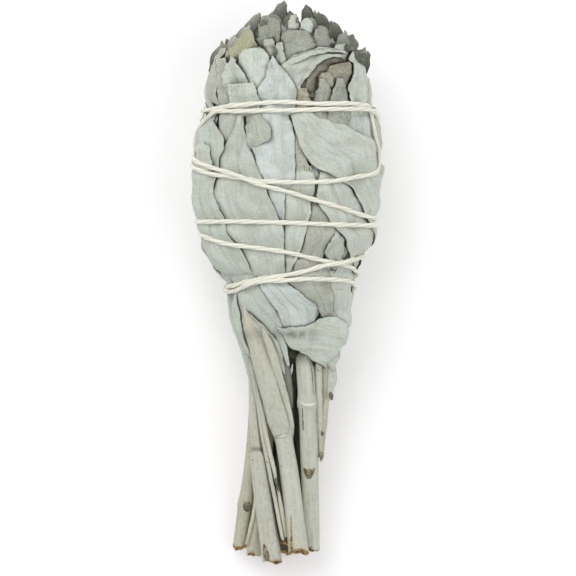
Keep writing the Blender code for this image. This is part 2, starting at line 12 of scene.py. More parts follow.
import bpy
import numpy as np
from mathutils.bvhtree import BVHTree
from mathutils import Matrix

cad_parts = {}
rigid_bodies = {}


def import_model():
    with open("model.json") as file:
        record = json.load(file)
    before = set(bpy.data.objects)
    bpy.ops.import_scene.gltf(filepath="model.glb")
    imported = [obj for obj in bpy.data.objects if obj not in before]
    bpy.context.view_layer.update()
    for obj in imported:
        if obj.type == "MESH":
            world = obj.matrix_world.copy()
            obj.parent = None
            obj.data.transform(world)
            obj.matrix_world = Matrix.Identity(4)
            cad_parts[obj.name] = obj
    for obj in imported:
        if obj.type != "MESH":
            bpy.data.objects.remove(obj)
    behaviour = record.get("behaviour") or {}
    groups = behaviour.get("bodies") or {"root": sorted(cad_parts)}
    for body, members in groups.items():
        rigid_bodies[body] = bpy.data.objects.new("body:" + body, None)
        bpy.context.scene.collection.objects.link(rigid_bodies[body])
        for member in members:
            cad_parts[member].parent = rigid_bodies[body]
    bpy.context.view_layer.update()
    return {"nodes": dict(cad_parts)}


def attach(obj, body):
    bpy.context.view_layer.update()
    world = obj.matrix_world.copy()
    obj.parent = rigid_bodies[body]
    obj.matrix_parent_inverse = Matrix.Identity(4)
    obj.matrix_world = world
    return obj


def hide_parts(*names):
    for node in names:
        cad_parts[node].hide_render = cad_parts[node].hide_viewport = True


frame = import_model()
print("nodes:", sorted(frame["nodes"]))

# %% [markdown]
# ## Measures that the solids and the surfaces share
# The tables are in millimetres, as they were measured, and repeat those of the solids: the leafy
# head is a row of ovals on a middle line that slopes down to the stem ends.

# %% The head and its middle line
MM = 0.001
CENTRE_SHIFT = np.array((-0.32, 0.14, 0.0))

BELLY_Y = 45.0
STEM_END_Y = -95.0
BELLY_AXIS_HEIGHT = 28.4
STEM_END_AXIS_HEIGHT = 12.3

# y, middle x, half width, half thickness
HEAD_STATIONS = np.array((
    (-36.0, 0.6, 15.2, 11.8),
    (-24.0, 1.0, 18.0, 14.0),
    (-12.0, 1.0, 21.0, 16.4),
    (0.0, 0.5, 24.6, 19.0),
    (10.0, -1.2, 29.0, 21.8),
    (22.0, -1.2, 31.8, 24.0),
    (36.0, -1.2, 33.4, 25.4),
    (50.0, -0.3, 34.0, 25.8),
    (62.0, -0.5, 31.8, 25.2),
    (72.0, -1.0, 29.8, 23.8),
    (80.0, -0.8, 26.6, 21.4),
    (88.0, -0.2, 21.4, 17.6),
    (95.0, 1.0, 13.6, 12.0),
))


def smooth_through(at, stations, values):
    """A smooth curve through stations: a cubic between each two, with its neighbours' slopes."""
    stations = np.asarray(stations, float)
    values = np.asarray(values, float)
    slopes = np.gradient(values, stations)
    at = np.clip(np.asarray(at, float), stations[0], stations[-1])
    index = np.clip(np.searchsorted(stations, at) - 1, 0, len(stations) - 2)
    span = stations[index + 1] - stations[index]
    t = (at - stations[index]) / span
    start = values[index] * (1 + 2 * t) * (1 - t) ** 2 + slopes[index] * span * t * (1 - t) ** 2
    end = values[index + 1] * t**2 * (3 - 2 * t) + slopes[index + 1] * span * t**2 * (t - 1)
    return start + end


def axis_height(y):
    """Height of the middle line: a straight slope from the belly to the stem ends."""
    slope = (BELLY_AXIS_HEIGHT - STEM_END_AXIS_HEIGHT) / (BELLY_Y - STEM_END_Y)
    return STEM_END_AXIS_HEIGHT + slope * (np.asarray(y, float) - STEM_END_Y)


def head_section(y):
    """The head's middle x, middle z, half width and half thickness at y."""
    middle, width, thickness = (
        smooth_through(y, HEAD_STATIONS[:, 0], HEAD_STATIONS[:, k]) for k in (1, 2, 3)
    )
    return middle, axis_height(y), width, thickness


def head_radius(angle, y):
    """Length round the head per radian: the oval's half axes weighed by cos and sin of the angle."""
    _, _, half_width, half_thickness = head_section(y)
    return np.hypot(half_width * np.cos(angle), half_thickness * np.sin(angle))


def on_head(angle, y, lift):
    """Points at an angle round the head, 0 on top and a quarter turn at +X, raised by lift:
    x = middle + (half width + lift) sin angle, z = height + (half thickness + lift) cos angle."""
    middle, height, width, thickness = head_section(y)
    x = middle + (width + lift) * np.sin(angle)
    z = height + (thickness + lift) * np.cos(angle)
    return np.stack(np.broadcast_arrays(x, y, z), axis=-1)


print("half width and thickness at the belly:", [round(float(v), 1) for v in head_section(BELLY_Y)[2:]])

# %% [markdown]
# ## The camera
# The bunch lies down and the camera looks straight down on it through a long lens, so that heights
# barely change the outline. The photograph's pixels then turn into millimetres with one scale.

# %% Photograph's pixels to millimetres, and the camera
PHOTO_SIZE = 576
PHOTO_SCALE = 0.3565
PHOTO_MIDDLE = np.array((288.9, 282.5))
LENS = 500.0
SENSOR = 36.0
CAMERA_FOCUS_Z = 30.0


def from_photo(points):
    """Millimetres on the bunch for pixels of the photograph: x to the right, y upwards."""
    points = np.asarray(points, float)
    return (points - PHOTO_MIDDLE) * (PHOTO_SCALE, -PHOTO_SCALE)


camera_data = bpy.data.cameras.new("camera")
camera_data.lens = LENS
camera_data.sensor_width = SENSOR
camera_data.clip_end = 20.0
camera = bpy.data.objects.new("camera", camera_data)
bpy.context.scene.collection.objects.link(camera)
camera_x, camera_y = from_photo((PHOTO_SIZE / 2, PHOTO_SIZE / 2)) + CENTRE_SHIFT[:2]
camera_z = CAMERA_FOCUS_Z + PHOTO_SIZE * PHOTO_SCALE * LENS / SENSOR
camera.location = (camera_x * MM, camera_y * MM, camera_z * MM)
bpy.context.scene.camera = camera
print("camera height in m:", round(camera_z * MM, 3))

# %% [markdown]
# ## Closed surfaces from grids
# Every leaf, stem and ply is a grid of points. A blade has the grid twice, above and below, and a
# band round its rim, so that it is a closed body. A tube's grid is joined round and capped.

# %% Grids, shells and tubes
def leaf_grid(rows, columns):
    """The two parameters of a leaf: u from 0 at the root to 1 at the tip, v from -1 to 1 across."""
    return np.linspace(0, 1, rows)[:, None], np.linspace(-1, 1, columns)[None, :]


def full_turn(count):
    """Angles at even steps once round a tube."""
    return np.linspace(0, 2 * math.pi, count, endpoint=False)[None, :]


def run_of(steps):
    """Length run at each point, 0 at the first, from the steps between the points."""
    return np.concatenate([np.zeros_like(steps[:1]), np.cumsum(steps, axis=0)])


def unit(vectors):
    """Each vector divided by its own length."""
    return vectors / np.linalg.norm(vectors, axis=-1, keepdims=True)


def grid_quads(rows, columns, joined=False):
    """Corner numbers of the quads between neighbouring points of a grid, counted row by row."""
    across = np.arange(columns if joined else columns - 1)
    i, j = np.meshgrid(np.arange(rows - 1), across, indexing="ij")
    k = (j + 1) % columns
    corners = (i * columns + j, i * columns + k, (i + 1) * columns + k, (i + 1) * columns + j)
    return np.stack(corners, axis=-1).reshape(-1, 4)


def outward(points, quads):
    """The quads turned so that the closed body has a volume above zero: faces point outwards."""
    corners = (points - points.mean(axis=0))[quads]
    a, b, c, d = (corners[:, k] for k in range(4))
    volume = np.einsum("ij,ij->", a, np.cross(b, c)) + np.einsum("ij,ij->", a, np.cross(c, d))
    return quads if volume > 0 else quads[:, ::-1]


def shell(top, bottom):
    """A closed blade from two grids of the same size, with a band of quads round the rim."""
    rows, columns = top.shape[:2]
    numbers = np.arange(rows * columns).reshape(rows, columns)
    rim = np.concatenate([numbers[0], numbers[1:, -1], numbers[-1, -2::-1], numbers[-2:0:-1, 0]])
    after = np.roll(rim, -1)
    upper = grid_quads(rows, columns)
    lower = upper[:, ::-1] + rows * columns
    band = np.stack([after, rim, rim + rows * columns, after + rows * columns], axis=1)
    points = np.concatenate([top.reshape(-1, 3), bottom.reshape(-1, 3)])
    return points, outward(points, np.concatenate([upper, lower, band]))


def tube(rings):
    """A closed tube through rings of points. Each end is a fan of quads to a point in the middle."""
    rows, columns = rings.shape[:2]
    quads = grid_quads(rows, columns, joined=True)
    points = np.concatenate([rings.reshape(-1, 3), rings[[0, -1]].mean(axis=1)])
    caps = []
    for ring, centre in ((0, rows * columns), (rows - 1, rows * columns + 1)):
        around = ring * columns + np.arange(columns)
        even, odd, after = around[0::2], around[1::2], np.roll(around[0::2], -1)
        fan = np.stack([np.full_like(even, centre), after, odd, even], axis=1)
        caps.append(fan if ring == 0 else fan[:, ::-1])
    return points, outward(points, np.concatenate([quads, *caps]))


def with_caps(grid):
    """A tube's values in the order of its points, with the mean of each end ring for its cap."""
    return np.concatenate([grid.reshape(-1, grid.shape[-1]), grid[[0, -1]].mean(axis=1)])


def make_piece(name, bodies, finish, node):
    """Joins closed bodies into one object. A body is (points in mm, quads, values by attribute)."""
    counts = [len(body[0]) for body in bodies]
    starts = np.concatenate([[0], np.cumsum(counts)[:-1]])
    points = (np.concatenate([body[0] for body in bodies]) + CENTRE_SHIFT) * MM
    quads = np.concatenate([body[1] + start for body, start in zip(bodies, starts)])
    mesh = bpy.data.meshes.new(name)
    mesh.vertices.add(len(points))
    mesh.vertices.foreach_set("co", points.astype(np.float32).ravel())
    mesh.loops.add(quads.size)
    mesh.loops.foreach_set("vertex_index", quads.astype(np.int32).ravel())
    mesh.polygons.add(len(quads))
    mesh.polygons.foreach_set("loop_start", np.arange(0, quads.size, 4, dtype=np.int32))
    mesh.update(calc_edges=True)
    for key in bodies[0][2]:
        values = np.concatenate([body[2][key] for body in bodies]).astype(np.float32)
        kind, field = ("FLOAT_VECTOR", "vector") if values.ndim == 2 else ("FLOAT", "value")
        mesh.attributes.new(key, kind, "POINT").data.foreach_set(field, values.ravel())
    mesh.shade_smooth()
    mesh.validate()
    mesh.materials.append(finish)
    obj = bpy.data.objects.new(name, mesh)
    bpy.context.scene.collection.objects.link(obj)
    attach(obj, "root")
    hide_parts(node)
    print(f"{name}: {len(bodies)} bodies, {2 * len(quads)} triangles")


# %% [markdown]
# ## Finishes
# Dried white sage is covered in short pale hairs, so its leaves look like felt: matt, with a soft
# sheen. Each leaf carries its own colour, the place along and across it, the distance to its
# margin and how deep it lies under its neighbours. The material reads these from the mesh, so
# that veins and dark margins follow each leaf. The dark margins are painted shadow, and a leaf
# deep under its neighbours is painted in shade.

# %% A few words for building materials
class Finish:
    """A Principled material, with short calls that add nodes and return their outputs."""

    def __init__(self, name):
        self.material = bpy.data.materials.new(name)
        self.material.use_nodes = True
        self.tree = self.material.node_tree
        self.shader = self.tree.nodes["Principled BSDF"]

    def put(self, source, target):
        """Links an output to an input, or sets a plain value on it."""
        if hasattr(source, "links"):
            self.tree.links.new(source, target)
        else:
            target.default_value = source

    def attribute(self, name, output="Fac"):
        node = self.tree.nodes.new("ShaderNodeAttribute")
        node.attribute_name = name
        return node.outputs[output]

    def place(self):
        return self.tree.nodes.new("ShaderNodeTexCoord").outputs["Object"]

    def stretch(self, vector, scale):
        node = self.tree.nodes.new("ShaderNodeMapping")
        self.put(vector, node.inputs["Vector"])
        self.put(scale, node.inputs["Scale"])
        return node.outputs["Vector"]

    def noise(self, vector, scale, detail=3.0, roughness=0.5):
        node = self.tree.nodes.new("ShaderNodeTexNoise")
        self.put(vector, node.inputs["Vector"])
        self.put(scale, node.inputs["Scale"])
        self.put(detail, node.inputs["Detail"])
        self.put(roughness, node.inputs["Roughness"])
        return node.outputs["Fac"]

    def cells(self, vector, scale, feature="DISTANCE_TO_EDGE"):
        node = self.tree.nodes.new("ShaderNodeTexVoronoi")
        node.feature = feature
        self.put(vector, node.inputs["Vector"])
        self.put(scale, node.inputs["Scale"])
        return node.outputs["Distance"]

    def math(self, operation, first, second=0.0):
        node = self.tree.nodes.new("ShaderNodeMath")
        node.operation = operation
        self.put(first, node.inputs[0])
        self.put(second, node.inputs[1])
        return node.outputs[0]

    def times(self, first, second):
        return self.math("MULTIPLY", first, second)

    def ramp(self, value, low, high, at_low=0.0, at_high=1.0):
        """A smooth step from at_low to at_high as the value goes from low to high."""
        node = self.tree.nodes.new("ShaderNodeMapRange")
        node.interpolation_type = "SMOOTHSTEP"
        ends = {"From Min": low, "From Max": high, "To Min": at_low, "To Max": at_high}
        for name, number in ends.items():
            node.inputs[name].default_value = number
        self.put(value, node.inputs["Value"])
        return node.outputs["Result"]

    def mix(self, share, first, second, blend="MIX"):
        node = self.tree.nodes.new("ShaderNodeMix")
        node.data_type = "RGBA"
        node.blend_type = blend
        self.put(share, node.inputs["Factor"])
        for colour, socket in ((first, node.inputs[6]), (second, node.inputs[7])):
            self.put((*colour, 1.0) if isinstance(colour, tuple) else colour, socket)
        return node.outputs[2]

    def bump(self, height, distance, under=None):
        node = self.tree.nodes.new("ShaderNodeBump")
        self.put(height, node.inputs["Height"])
        self.put(distance, node.inputs["Distance"])
        if under is not None:
            self.put(under, node.inputs["Normal"])
        return node.outputs["Normal"]

    def finish(self, colour, roughness, normal, sheen=0.0, specular=0.3):
        self.put(colour, self.shader.inputs["Base Color"])
        self.put(roughness, self.shader.inputs["Roughness"])
        self.put(normal, self.shader.inputs["Normal"])
        self.shader.inputs["Sheen Weight"].default_value = sheen
        self.shader.inputs["Specular IOR Level"].default_value = specular
        return self.material


def felt(red, green, blue):
    """A linear colour from the 0 to 255 values that a screen shows."""
    return tuple((value / 255) ** 2.2 for value in (red, green, blue))


SHADOW = felt(66, 68, 56)

# %% Sage leaf
# The leaf's own place is in millimetres: x along it, y across it, z a different slice for each leaf.
MOTTLE = felt(184, 190, 170)
# painted shade along the folds and in the creases; the crease colour also darkens the felt here and there
FOLD_SHADE = felt(150, 156, 138)
DARK_FELT_AND_CREASE_SHADE = felt(120, 124, 108)
DOWN = felt(226, 232, 224)
SUNBURN = felt(186, 174, 146)
SPECK = felt(105, 92, 66)
# painted shade in the grooves of the wrinkle net
WRINKLE_SHADE = felt(116, 112, 92)
# painted shadow along the margins
MARGIN_SHADOW = felt(66, 70, 58)
DRY_MARGIN = felt(184, 168, 136)


def leaf_finish():
    """Felt of hairs over mottling, painted shade along folds and in creases, a net of wrinkles with
    painted shade in its grooves, a dark margin line of painted shadow, dry brown margins and specks,
    and painted shade where the leaf lies under its neighbours."""
    f = Finish("sage_leaf")
    place = f.attribute("place", "Vector")
    margin = f.attribute("margin")
    colour = f.attribute("colour", "Vector")
    mottle = f.noise(place, 0.16, 4.0, 0.6)
    colour = f.mix(f.ramp(mottle, 0.35, 0.7, 0.0, 0.35), colour, MOTTLE)
    # painted shade: darker along the folds, and a thin dark line of painted shade in each crease
    fold = f.noise(f.stretch(place, (0.05, 0.42, 1.0)), 1.0, 3.0, 0.6)
    colour = f.mix(f.ramp(fold, 0.50, 0.66, 0.0, 0.30), colour, FOLD_SHADE)
    crease = f.math("ABSOLUTE", f.math("SUBTRACT", fold, 0.46))
    colour = f.mix(f.ramp(crease, 0.0, 0.012, 0.30, 0.0), colour, DARK_FELT_AND_CREASE_SHADE)
    felted = f.noise(place, 1.7, 3.0, 0.7)
    colour = f.mix(f.ramp(felted, 0.3, 0.75, 0.0, 0.30), colour, DOWN)
    # darker felt here and there, the leaf's own tone
    colour = f.mix(f.ramp(felted, 0.25, 0.5, 0.30, 0.0), colour, DARK_FELT_AND_CREASE_SHADE)
    tan = f.noise(place, 0.09, 3.0, 0.6)
    colour = f.mix(f.ramp(tan, 0.60, 0.74, 0.0, 0.42), colour, SUNBURN)
    speck = f.cells(place, 0.55, "F1")
    speck = f.times(f.ramp(speck, 0.05, 0.12, 1.0, 0.0), f.ramp(felted, 0.5, 0.6))
    colour = f.mix(f.times(speck, 0.75), colour, SPECK)
    # painted shade in the grooves of the net, where the bump below sinks it in
    net = f.cells(place, 1.7)
    wrinkle = f.attribute("net")
    net_shade = f.times(f.ramp(net, 0.0, 0.16, 0.45, 0.0), wrinkle)
    colour = f.mix(net_shade, colour, WRINKLE_SHADE)
    # painted shadow: a dark line along the margin, broken here and there, as in the gap under a leaf's edge
    ragged = f.math("ADD", margin, f.times(f.math("SUBTRACT", felted, 0.5), 0.5))
    edge = f.times(f.ramp(ragged, 0.03, 0.30, 1.0, 0.0), f.attribute("line"))
    edge = f.times(edge, f.ramp(f.noise(place, 0.22, 2.0), 0.36, 0.52, 0.15, 1.0))
    colour = f.mix(edge, colour, MARGIN_SHADOW)
    brown = f.times(f.ramp(margin, 0.3, 2.8, 1.0, 0.0), f.attribute("tan"))
    brown = f.times(brown, f.ramp(f.noise(place, 0.30, 3.0), 0.46, 0.66))
    colour = f.mix(f.times(brown, 0.55), colour, DRY_MARGIN)
    colour = f.mix(f.attribute("shade"), colour, SHADOW, "MULTIPLY")
    normal = f.bump(f.noise(place, 0.9, 4.0, 0.65), 0.00026)
    normal = f.bump(fold, 0.0009, normal)
    normal = f.bump(f.times(f.ramp(net, 0.0, 0.3), wrinkle), 0.00030, normal)
    normal = f.bump(felted, 0.00007, normal)
    return f.finish(colour, 0.86, normal, sheen=0.12, specular=0.2)


# %% Sage stem
# x of the stem's place runs along it and y and z round it, so that streaks run lengthwise.
STREAK = felt(168, 168, 146)
STEM_DOWN = felt(214, 218, 206)
WORN = felt(128, 124, 98)
STEM_SPECK = felt(52, 48, 38)
PITH = felt(92, 66, 40)
CUT_WOOD = felt(206, 168, 104)


def stem_finish():
    """Lengthwise streaks under pale down, worn and specked in places, and brown wood where cut."""
    f = Finish("sage_stem")
    place = f.attribute("place", "Vector")
    colour = f.attribute("colour", "Vector")
    streak = f.noise(f.stretch(place, (0.10, 1.1, 1.1)), 1.0, 4.0, 0.6)
    colour = f.mix(f.ramp(streak, 0.35, 0.7, 0.0, 0.45), colour, STREAK)
    down = f.noise(place, 0.8, 4.0, 0.65)
    colour = f.mix(f.ramp(down, 0.45, 0.7, 0.0, 0.40), colour, STEM_DOWN)
    colour = f.mix(f.ramp(down, 0.28, 0.42, 0.35, 0.0), colour, WORN)
    speck = f.cells(place, 0.27, "F1")
    speck = f.times(f.ramp(speck, 0.05, 0.09, 1.0, 0.0), f.ramp(streak, 0.44, 0.5))
    colour = f.mix(f.times(speck, 0.9), colour, STEM_SPECK)
    wood = f.noise(f.stretch(place, (1.2, 0.6, 0.6)), 1.0, 3.0, 0.7)
    cut = f.mix(f.ramp(wood, 0.35, 0.65), PITH, CUT_WOOD)
    colour = f.mix(f.ramp(f.attribute("cut"), 0.25, 0.75), colour, cut)
    colour = f.mix(f.attribute("shade"), colour, SHADOW, "MULTIPLY")
    normal = f.bump(streak, 0.00035)
    normal = f.bump(f.noise(place, 2.2, 3.0, 0.6), 0.00010, normal)
    return f.finish(colour, 0.82, normal, sheen=0.08, specular=0.25)


# %% Cotton twine
COTTON = felt(246, 245, 232)
STAIN = felt(232, 220, 182)
LOOSE_FIBRE = felt(196, 190, 166)
PLY_GROOVE_SHADE = felt(150, 142, 116)


def twine_finish():
    """Pale cotton, stained here and there, with loose fibres and painted shade in the grooves between
    plies.
    """
    f = Finish("cotton_twine")
    place = f.attribute("place", "Vector")
    fibres = f.noise(f.stretch(place, (0.5, 3.0, 3.0)), 1.0, 4.0, 0.65)
    stain = f.noise(f.stretch(place, (0.05, 0.2, 0.2)), 1.0, 3.0, 0.6)
    colour = f.mix(f.ramp(stain, 0.55, 0.75, 0.0, 0.55), COTTON, STAIN)
    colour = f.mix(f.ramp(fibres, 0.3, 0.55, 0.30, 0.0), colour, LOOSE_FIBRE)
    # painted shade in the grooves between the plies
    colour = f.mix(f.ramp(f.attribute("groove"), 0.45, 1.0, 0.0, 0.30), colour, PLY_GROOVE_SHADE)
    normal = f.bump(fibres, 0.00012)
    return f.finish(colour, 0.9, normal, sheen=0.15, specular=0.2)


# %% Inside of the bunch, dark in painted shade
# painted shade: two dark tones for the gaps between the leaves
INSIDE_DARK = felt(46, 46, 38)
INSIDE_LIGHT = felt(96, 98, 82)


def inside_finish():
    """Dark and crumpled: painted shade, as the gaps between packed leaves look dark."""
    f = Finish("leaf_inside")
    crumple = f.noise(f.place(), 260.0, 5.0, 0.6)
    colour = f.mix(f.ramp(crumple, 0.35, 0.65), INSIDE_DARK, INSIDE_LIGHT)
    return f.finish(colour, 0.95, f.bump(crumple, 0.0012), specular=0.1)


leaf = leaf_finish()
stem_skin = stem_finish()
cotton = twine_finish()
inside = inside_finish()
print("finishes:", [m.name for m in (leaf, stem_skin, cotton, inside)])

# %% [markdown]
# ## Laying one leaf on another
# Leaves packed in a bunch lie on each other: each one follows what is under it, bridges the small
# steps and adds its own thickness. A height field round the head keeps the reach of all leaves
# laid so far. A new leaf reads it, is smoothed like a stiff sheet that can't sink in, and writes
# its upper side back. A cloth simulation could do this too, but takes minutes for so many blades.

# %% The height field
FIELD_CORE = -4.6
FLANK_YS = (22.0, 28.0, 33.0, 39.4, 47.0, 56.0, 66.0)
FLANK_DIPS = (0.0, 0.9, 1.8, 2.4, 1.0, 0.6, 0.0)
FIELD_STEP = 0.4
FIELD_LOW = -40.0
FIELD_HIGH = 97.0
ANGLE_CELLS = 600
Y_CELLS = int((FIELD_HIGH - FIELD_LOW) / FIELD_STEP)
SHARE_OF_CELL = 0.75


def flank_dip(angle, y):
    """How far the twine pulls the flanks in: a dip along y times sin(angle) squared."""
    return np.interp(y, FLANK_YS, FLANK_DIPS) * np.sin(angle) ** 2


cell_angles = (np.arange(ANGLE_CELLS)[:, None] + 0.5) / ANGLE_CELLS * 2 * math.pi
cell_ys = FIELD_LOW + (np.arange(Y_CELLS)[None, :] + 0.5) * FIELD_STEP
field = FIELD_CORE - flank_dip(cell_angles, cell_ys)


def field_cells(angle, y):
    """The cell numbers under points given by an angle round the head and a y."""
    i = np.floor(angle / (2 * math.pi) * ANGLE_CELLS).astype(int) % ANGLE_CELLS
    j = np.clip(((y - FIELD_LOW) / FIELD_STEP).astype(int), 0, Y_CELLS - 1)
    return i, j


def widened(values):
    """Each cell takes the highest of itself and its eight neighbours."""
    values = np.maximum(values, np.maximum(np.roll(values, 1, 0), np.roll(values, -1, 0)))
    sides = np.pad(values, ((0, 0), (1, 1)), mode="edge")
    return np.maximum(values, np.maximum(sides[:, 2:], sides[:, :-2]))


def blurred(values, rounds):
    """Each round a cell becomes the mean of itself and its four neighbours."""
    for _ in range(rounds):
        sides = np.pad(values, ((0, 0), (1, 1)), mode="edge")
        values = values + np.roll(values, 1, 0) + np.roll(values, -1, 0) + sides[:, 2:] + sides[:, :-2]
        values = values / 5
    return values


def settled(floor, rounds):
    """A stiff sheet on a floor: each round a point rises to the mean of its four neighbours, but
    never sinks under its floor."""
    height = floor.copy()
    for _ in range(rounds):
        p = np.pad(height, 1, mode="edge")
        mean = (p[:-2, 1:-1] + p[2:, 1:-1] + p[1:-1, :-2] + p[1:-1, 2:]) / 4
        height = np.maximum(floor, mean)
    return height


def finer(grid, rows, columns):
    """The grid read at more rows and columns, by straight lines between its points."""
    def weights(fine, coarse):
        at = np.linspace(0, coarse - 1, fine)
        return np.maximum(0, 1 - np.abs(at[:, None] - np.arange(coarse)))
    return weights(rows, grid.shape[0]) @ grid @ weights(columns, grid.shape[1]).T


print("field cells:", field.shape)

# %% [markdown]
# ## One leaf
# A leaf is a ruled sheet between its two margins: the point at share u along and v across is
# left(u) + (right(u) - left(u)) (v + 1) / 2. Its middle swells a little, the midrib is a shallow
# groove, and the margins ripple. The blade is thickest along its midrib.

# %% Leaf colours and blade
PALE = felt(206, 214, 204)
BLUE = felt(208, 219, 217)
OLIVE = felt(200, 206, 193)
GREEN = felt(199, 209, 199)
GREY = felt(190, 192, 182)
YELLOW = felt(164, 162, 124)
BROWN = felt(172, 164, 144)
DARK = felt(122, 128, 112)
ASH = felt(166, 168, 156)
TAN = felt(186, 180, 160)
GAP_SHADE = felt(62, 60, 50)
LEAF_COLOURS = (PALE, BLUE, OLIVE, GREEN, GREY)

# lengths in mm; BLADE_TAPER, RIB_WIDTH and SINK_SHARE are shares
BLADE = 0.42
BLADE_TAPER = 0.55
LEAF_GAP = 0.06
RIB_DEPTH = 0.20
RIB_WIDTH = 0.07
RIPPLE = 0.18
CRUMPLE = 0.05
FULL_BODY_WIDTH = 9.0
SETTLE_ROUNDS = 14
SINK_DEPTH = 1.9
SINK_LENGTH = 5.0
SINK_SHARE = 0.35
PATTERN_STEP = 37.0

draw = np.random.default_rng(5)
laid = []


def leaf_values(margin, line, shade, place, colour, net, tan):
    """What the leaf material reads, for the points of the upper and then of the lower side."""
    values = {"margin": margin, "line": line, "shade": shade}
    values = {key: np.tile(grid.ravel(), 2) for key, grid in values.items()}
    values["place"] = np.tile(place.reshape(-1, 3), (2, 1))
    values["colour"] = np.tile(colour, (2 * margin.size, 1))
    values["net"] = np.full(2 * margin.size, float(net))
    values["tan"] = np.full(2 * margin.size, float(tan))
    return values


def lay_leaf(angle, y, colour, margin_shadows, sunk, swell, tip_lift=0.0, net=0.1, tan=0.4, group="front"):
    """Lays a sheet, given by its angles round the head and its ys, on all that were laid before.
    Height = settled floor + swell (1 - v squared) - midrib groove + ripples + tip lift u cubed.
    An end that is sunk goes in between the leaves under it."""
    u, v = leaf_grid(*angle.shape)
    radius = head_radius(angle, y)
    along = run_of(np.hypot(np.diff(angle, axis=0) * radius[1:], np.diff(y, axis=0)))
    across = run_of(np.hypot(np.diff(angle, axis=1) * radius[:, 1:], np.diff(y, axis=1)).T).T
    width = across[:, -1:]
    blunt = width[-1, 0] > 1.0
    margin = (1 - np.abs(v)) * width / 2
    if blunt:
        margin = np.minimum(margin, along[-1:] - along)

    phase = draw.uniform(0, 2 * math.pi, 6)
    floor = widened(field)[field_cells(angle, y)]
    body = np.minimum(width / FULL_BODY_WIDTH, 1.2)
    height = settled(floor, SETTLE_ROUNDS) + LEAF_GAP + swell * body * (1 - v**2)
    height = height - RIB_DEPTH * body * np.exp(-((v / RIB_WIDTH) ** 2))
    height = height + RIPPLE * np.abs(v) ** 3 * (1 + np.sin(along / 1.9 + phase[0] + 2 * np.sign(v)))
    crumple = np.sin(along / 2.3 + across / 3.1 + phase[1]) + np.sin(across / 1.7 - along / 4.1 + phase[2])
    height = height + CRUMPLE * body * (2 + crumple) + tip_lift * u**3
    sinking = min(SINK_LENGTH, SINK_SHARE * along.max())
    for end, run in zip(sunk, (along, along[-1:] - along)):
        height = height - end * SINK_DEPTH * np.clip(1 - run / sinking, 0, 1) ** 2
    top = height + BLADE * (1 - BLADE_TAPER * v**4)

    fine_rows = int(along.max() / (FIELD_STEP * SHARE_OF_CELL)) + 2
    fine_columns = int(width.max() / (FIELD_STEP * SHARE_OF_CELL)) + 2
    fine = [finer(grid, fine_rows, fine_columns) for grid in (angle, y, top)]
    np.maximum.at(field, field_cells(fine[0], fine[1]), fine[2])

    slice_of_pattern = np.full(along.shape, PATTERN_STEP * (len(laid) + 1))
    laid.append({
        "angle": angle, "y": y, "low": height, "top": top, "group": group,
        "margin": margin, "line": np.where(v < 0, margin_shadows[0], margin_shadows[1]) + 0 * u,
        "place": np.stack([along, across - width / 2, slice_of_pattern], axis=-1),
        "look": {"colour": colour, "net": net, "tan": tan},
    })


print("blade thickness in mm:", BLADE)

# %% [markdown]
# ## Leaves all round the head
# On the real bunch leaves overlap like shingles on every side. Rows of them run round the head
# from the crown to the neck, each row set between the leaves of the last, with seeded differences
# in place, size and colour. They are the outside of the flanks and of the underside, and on the
# camera's side they fill what is left between the leaves that the photograph shows.

# %% Shingled rows
# half width at shares of the length, as a share of the widest
OUTLINE_STATIONS = (0.0, 0.25, 0.5, 0.75, 0.92, 1.0)
POINTED_OUTLINE = (0.50, 0.88, 1.0, 0.80, 0.42, 0.03)
BLUNT_OUTLINE = (0.50, 0.88, 1.0, 0.92, 0.74, 0.50)
BLUNT_SHARE = 0.22
ROW_GRID = (40, 15)
# strength of the painted shadow line along the left and the right margin
ROW_LINES = (0.7, 0.7)

# y of the tips, leaves in the row, length, width: tips up, then tips down at the neck
ROUND_ROWS = (
    (86.0, 13, 20.0, 10.0),
    (79.0, 14, 24.0, 11.0),
    (71.0, 14, 26.0, 12.5),
    (62.0, 14, 30.0, 14.0),
    (52.0, 14, 32.0, 15.0),
    (42.0, 14, 32.0, 15.5),
    (31.0, 13, 32.0, 15.0),
    (20.0, 13, 30.0, 14.0),
    (8.0, 12, 28.0, 12.5),
    (-3.0, 10, 24.0, 11.0),
    (-14.0, 9, 20.0, 9.5),
    (-25.0, 9, -22.0, 9.0),
    (-33.0, 7, -20.0, 8.0),
)
ROOT_LOW = -31.0
# leaves whose turn has a cosine above this face the camera and end above the bare stems
FRONT_TURN = 0.7
FRONT_TIP_LOW = -17.5
FRONT_ROOT_LOW = -19.0
# the leaf whose tip would stand off from the right flank
TUCKED_LEAF = 112


def outline_sheet(root_angle, root_y, tip_angle, tip_y, width, outline, sweep):
    """Angles and ys of a leaf with a given outline: half width(u) to each side of a line from
    root to tip that bows sideways by sweep 4 u (1 - u)."""
    u, v = leaf_grid(*ROW_GRID)
    half = smooth_through(u, OUTLINE_STATIONS, outline) * width / 2
    radius = head_radius(tip_angle, (root_y + tip_y) / 2)
    run = np.array(((tip_angle - root_angle) * radius, tip_y - root_y))
    across = np.array((run[1], -run[0])) / np.hypot(*run)
    aside = half * v + sweep * 4 * u * (1 - u)
    angle = root_angle + (tip_angle - root_angle) * u + across[0] * aside / radius
    y = root_y + (tip_y - root_y) * u + across[1] * aside
    return angle, y


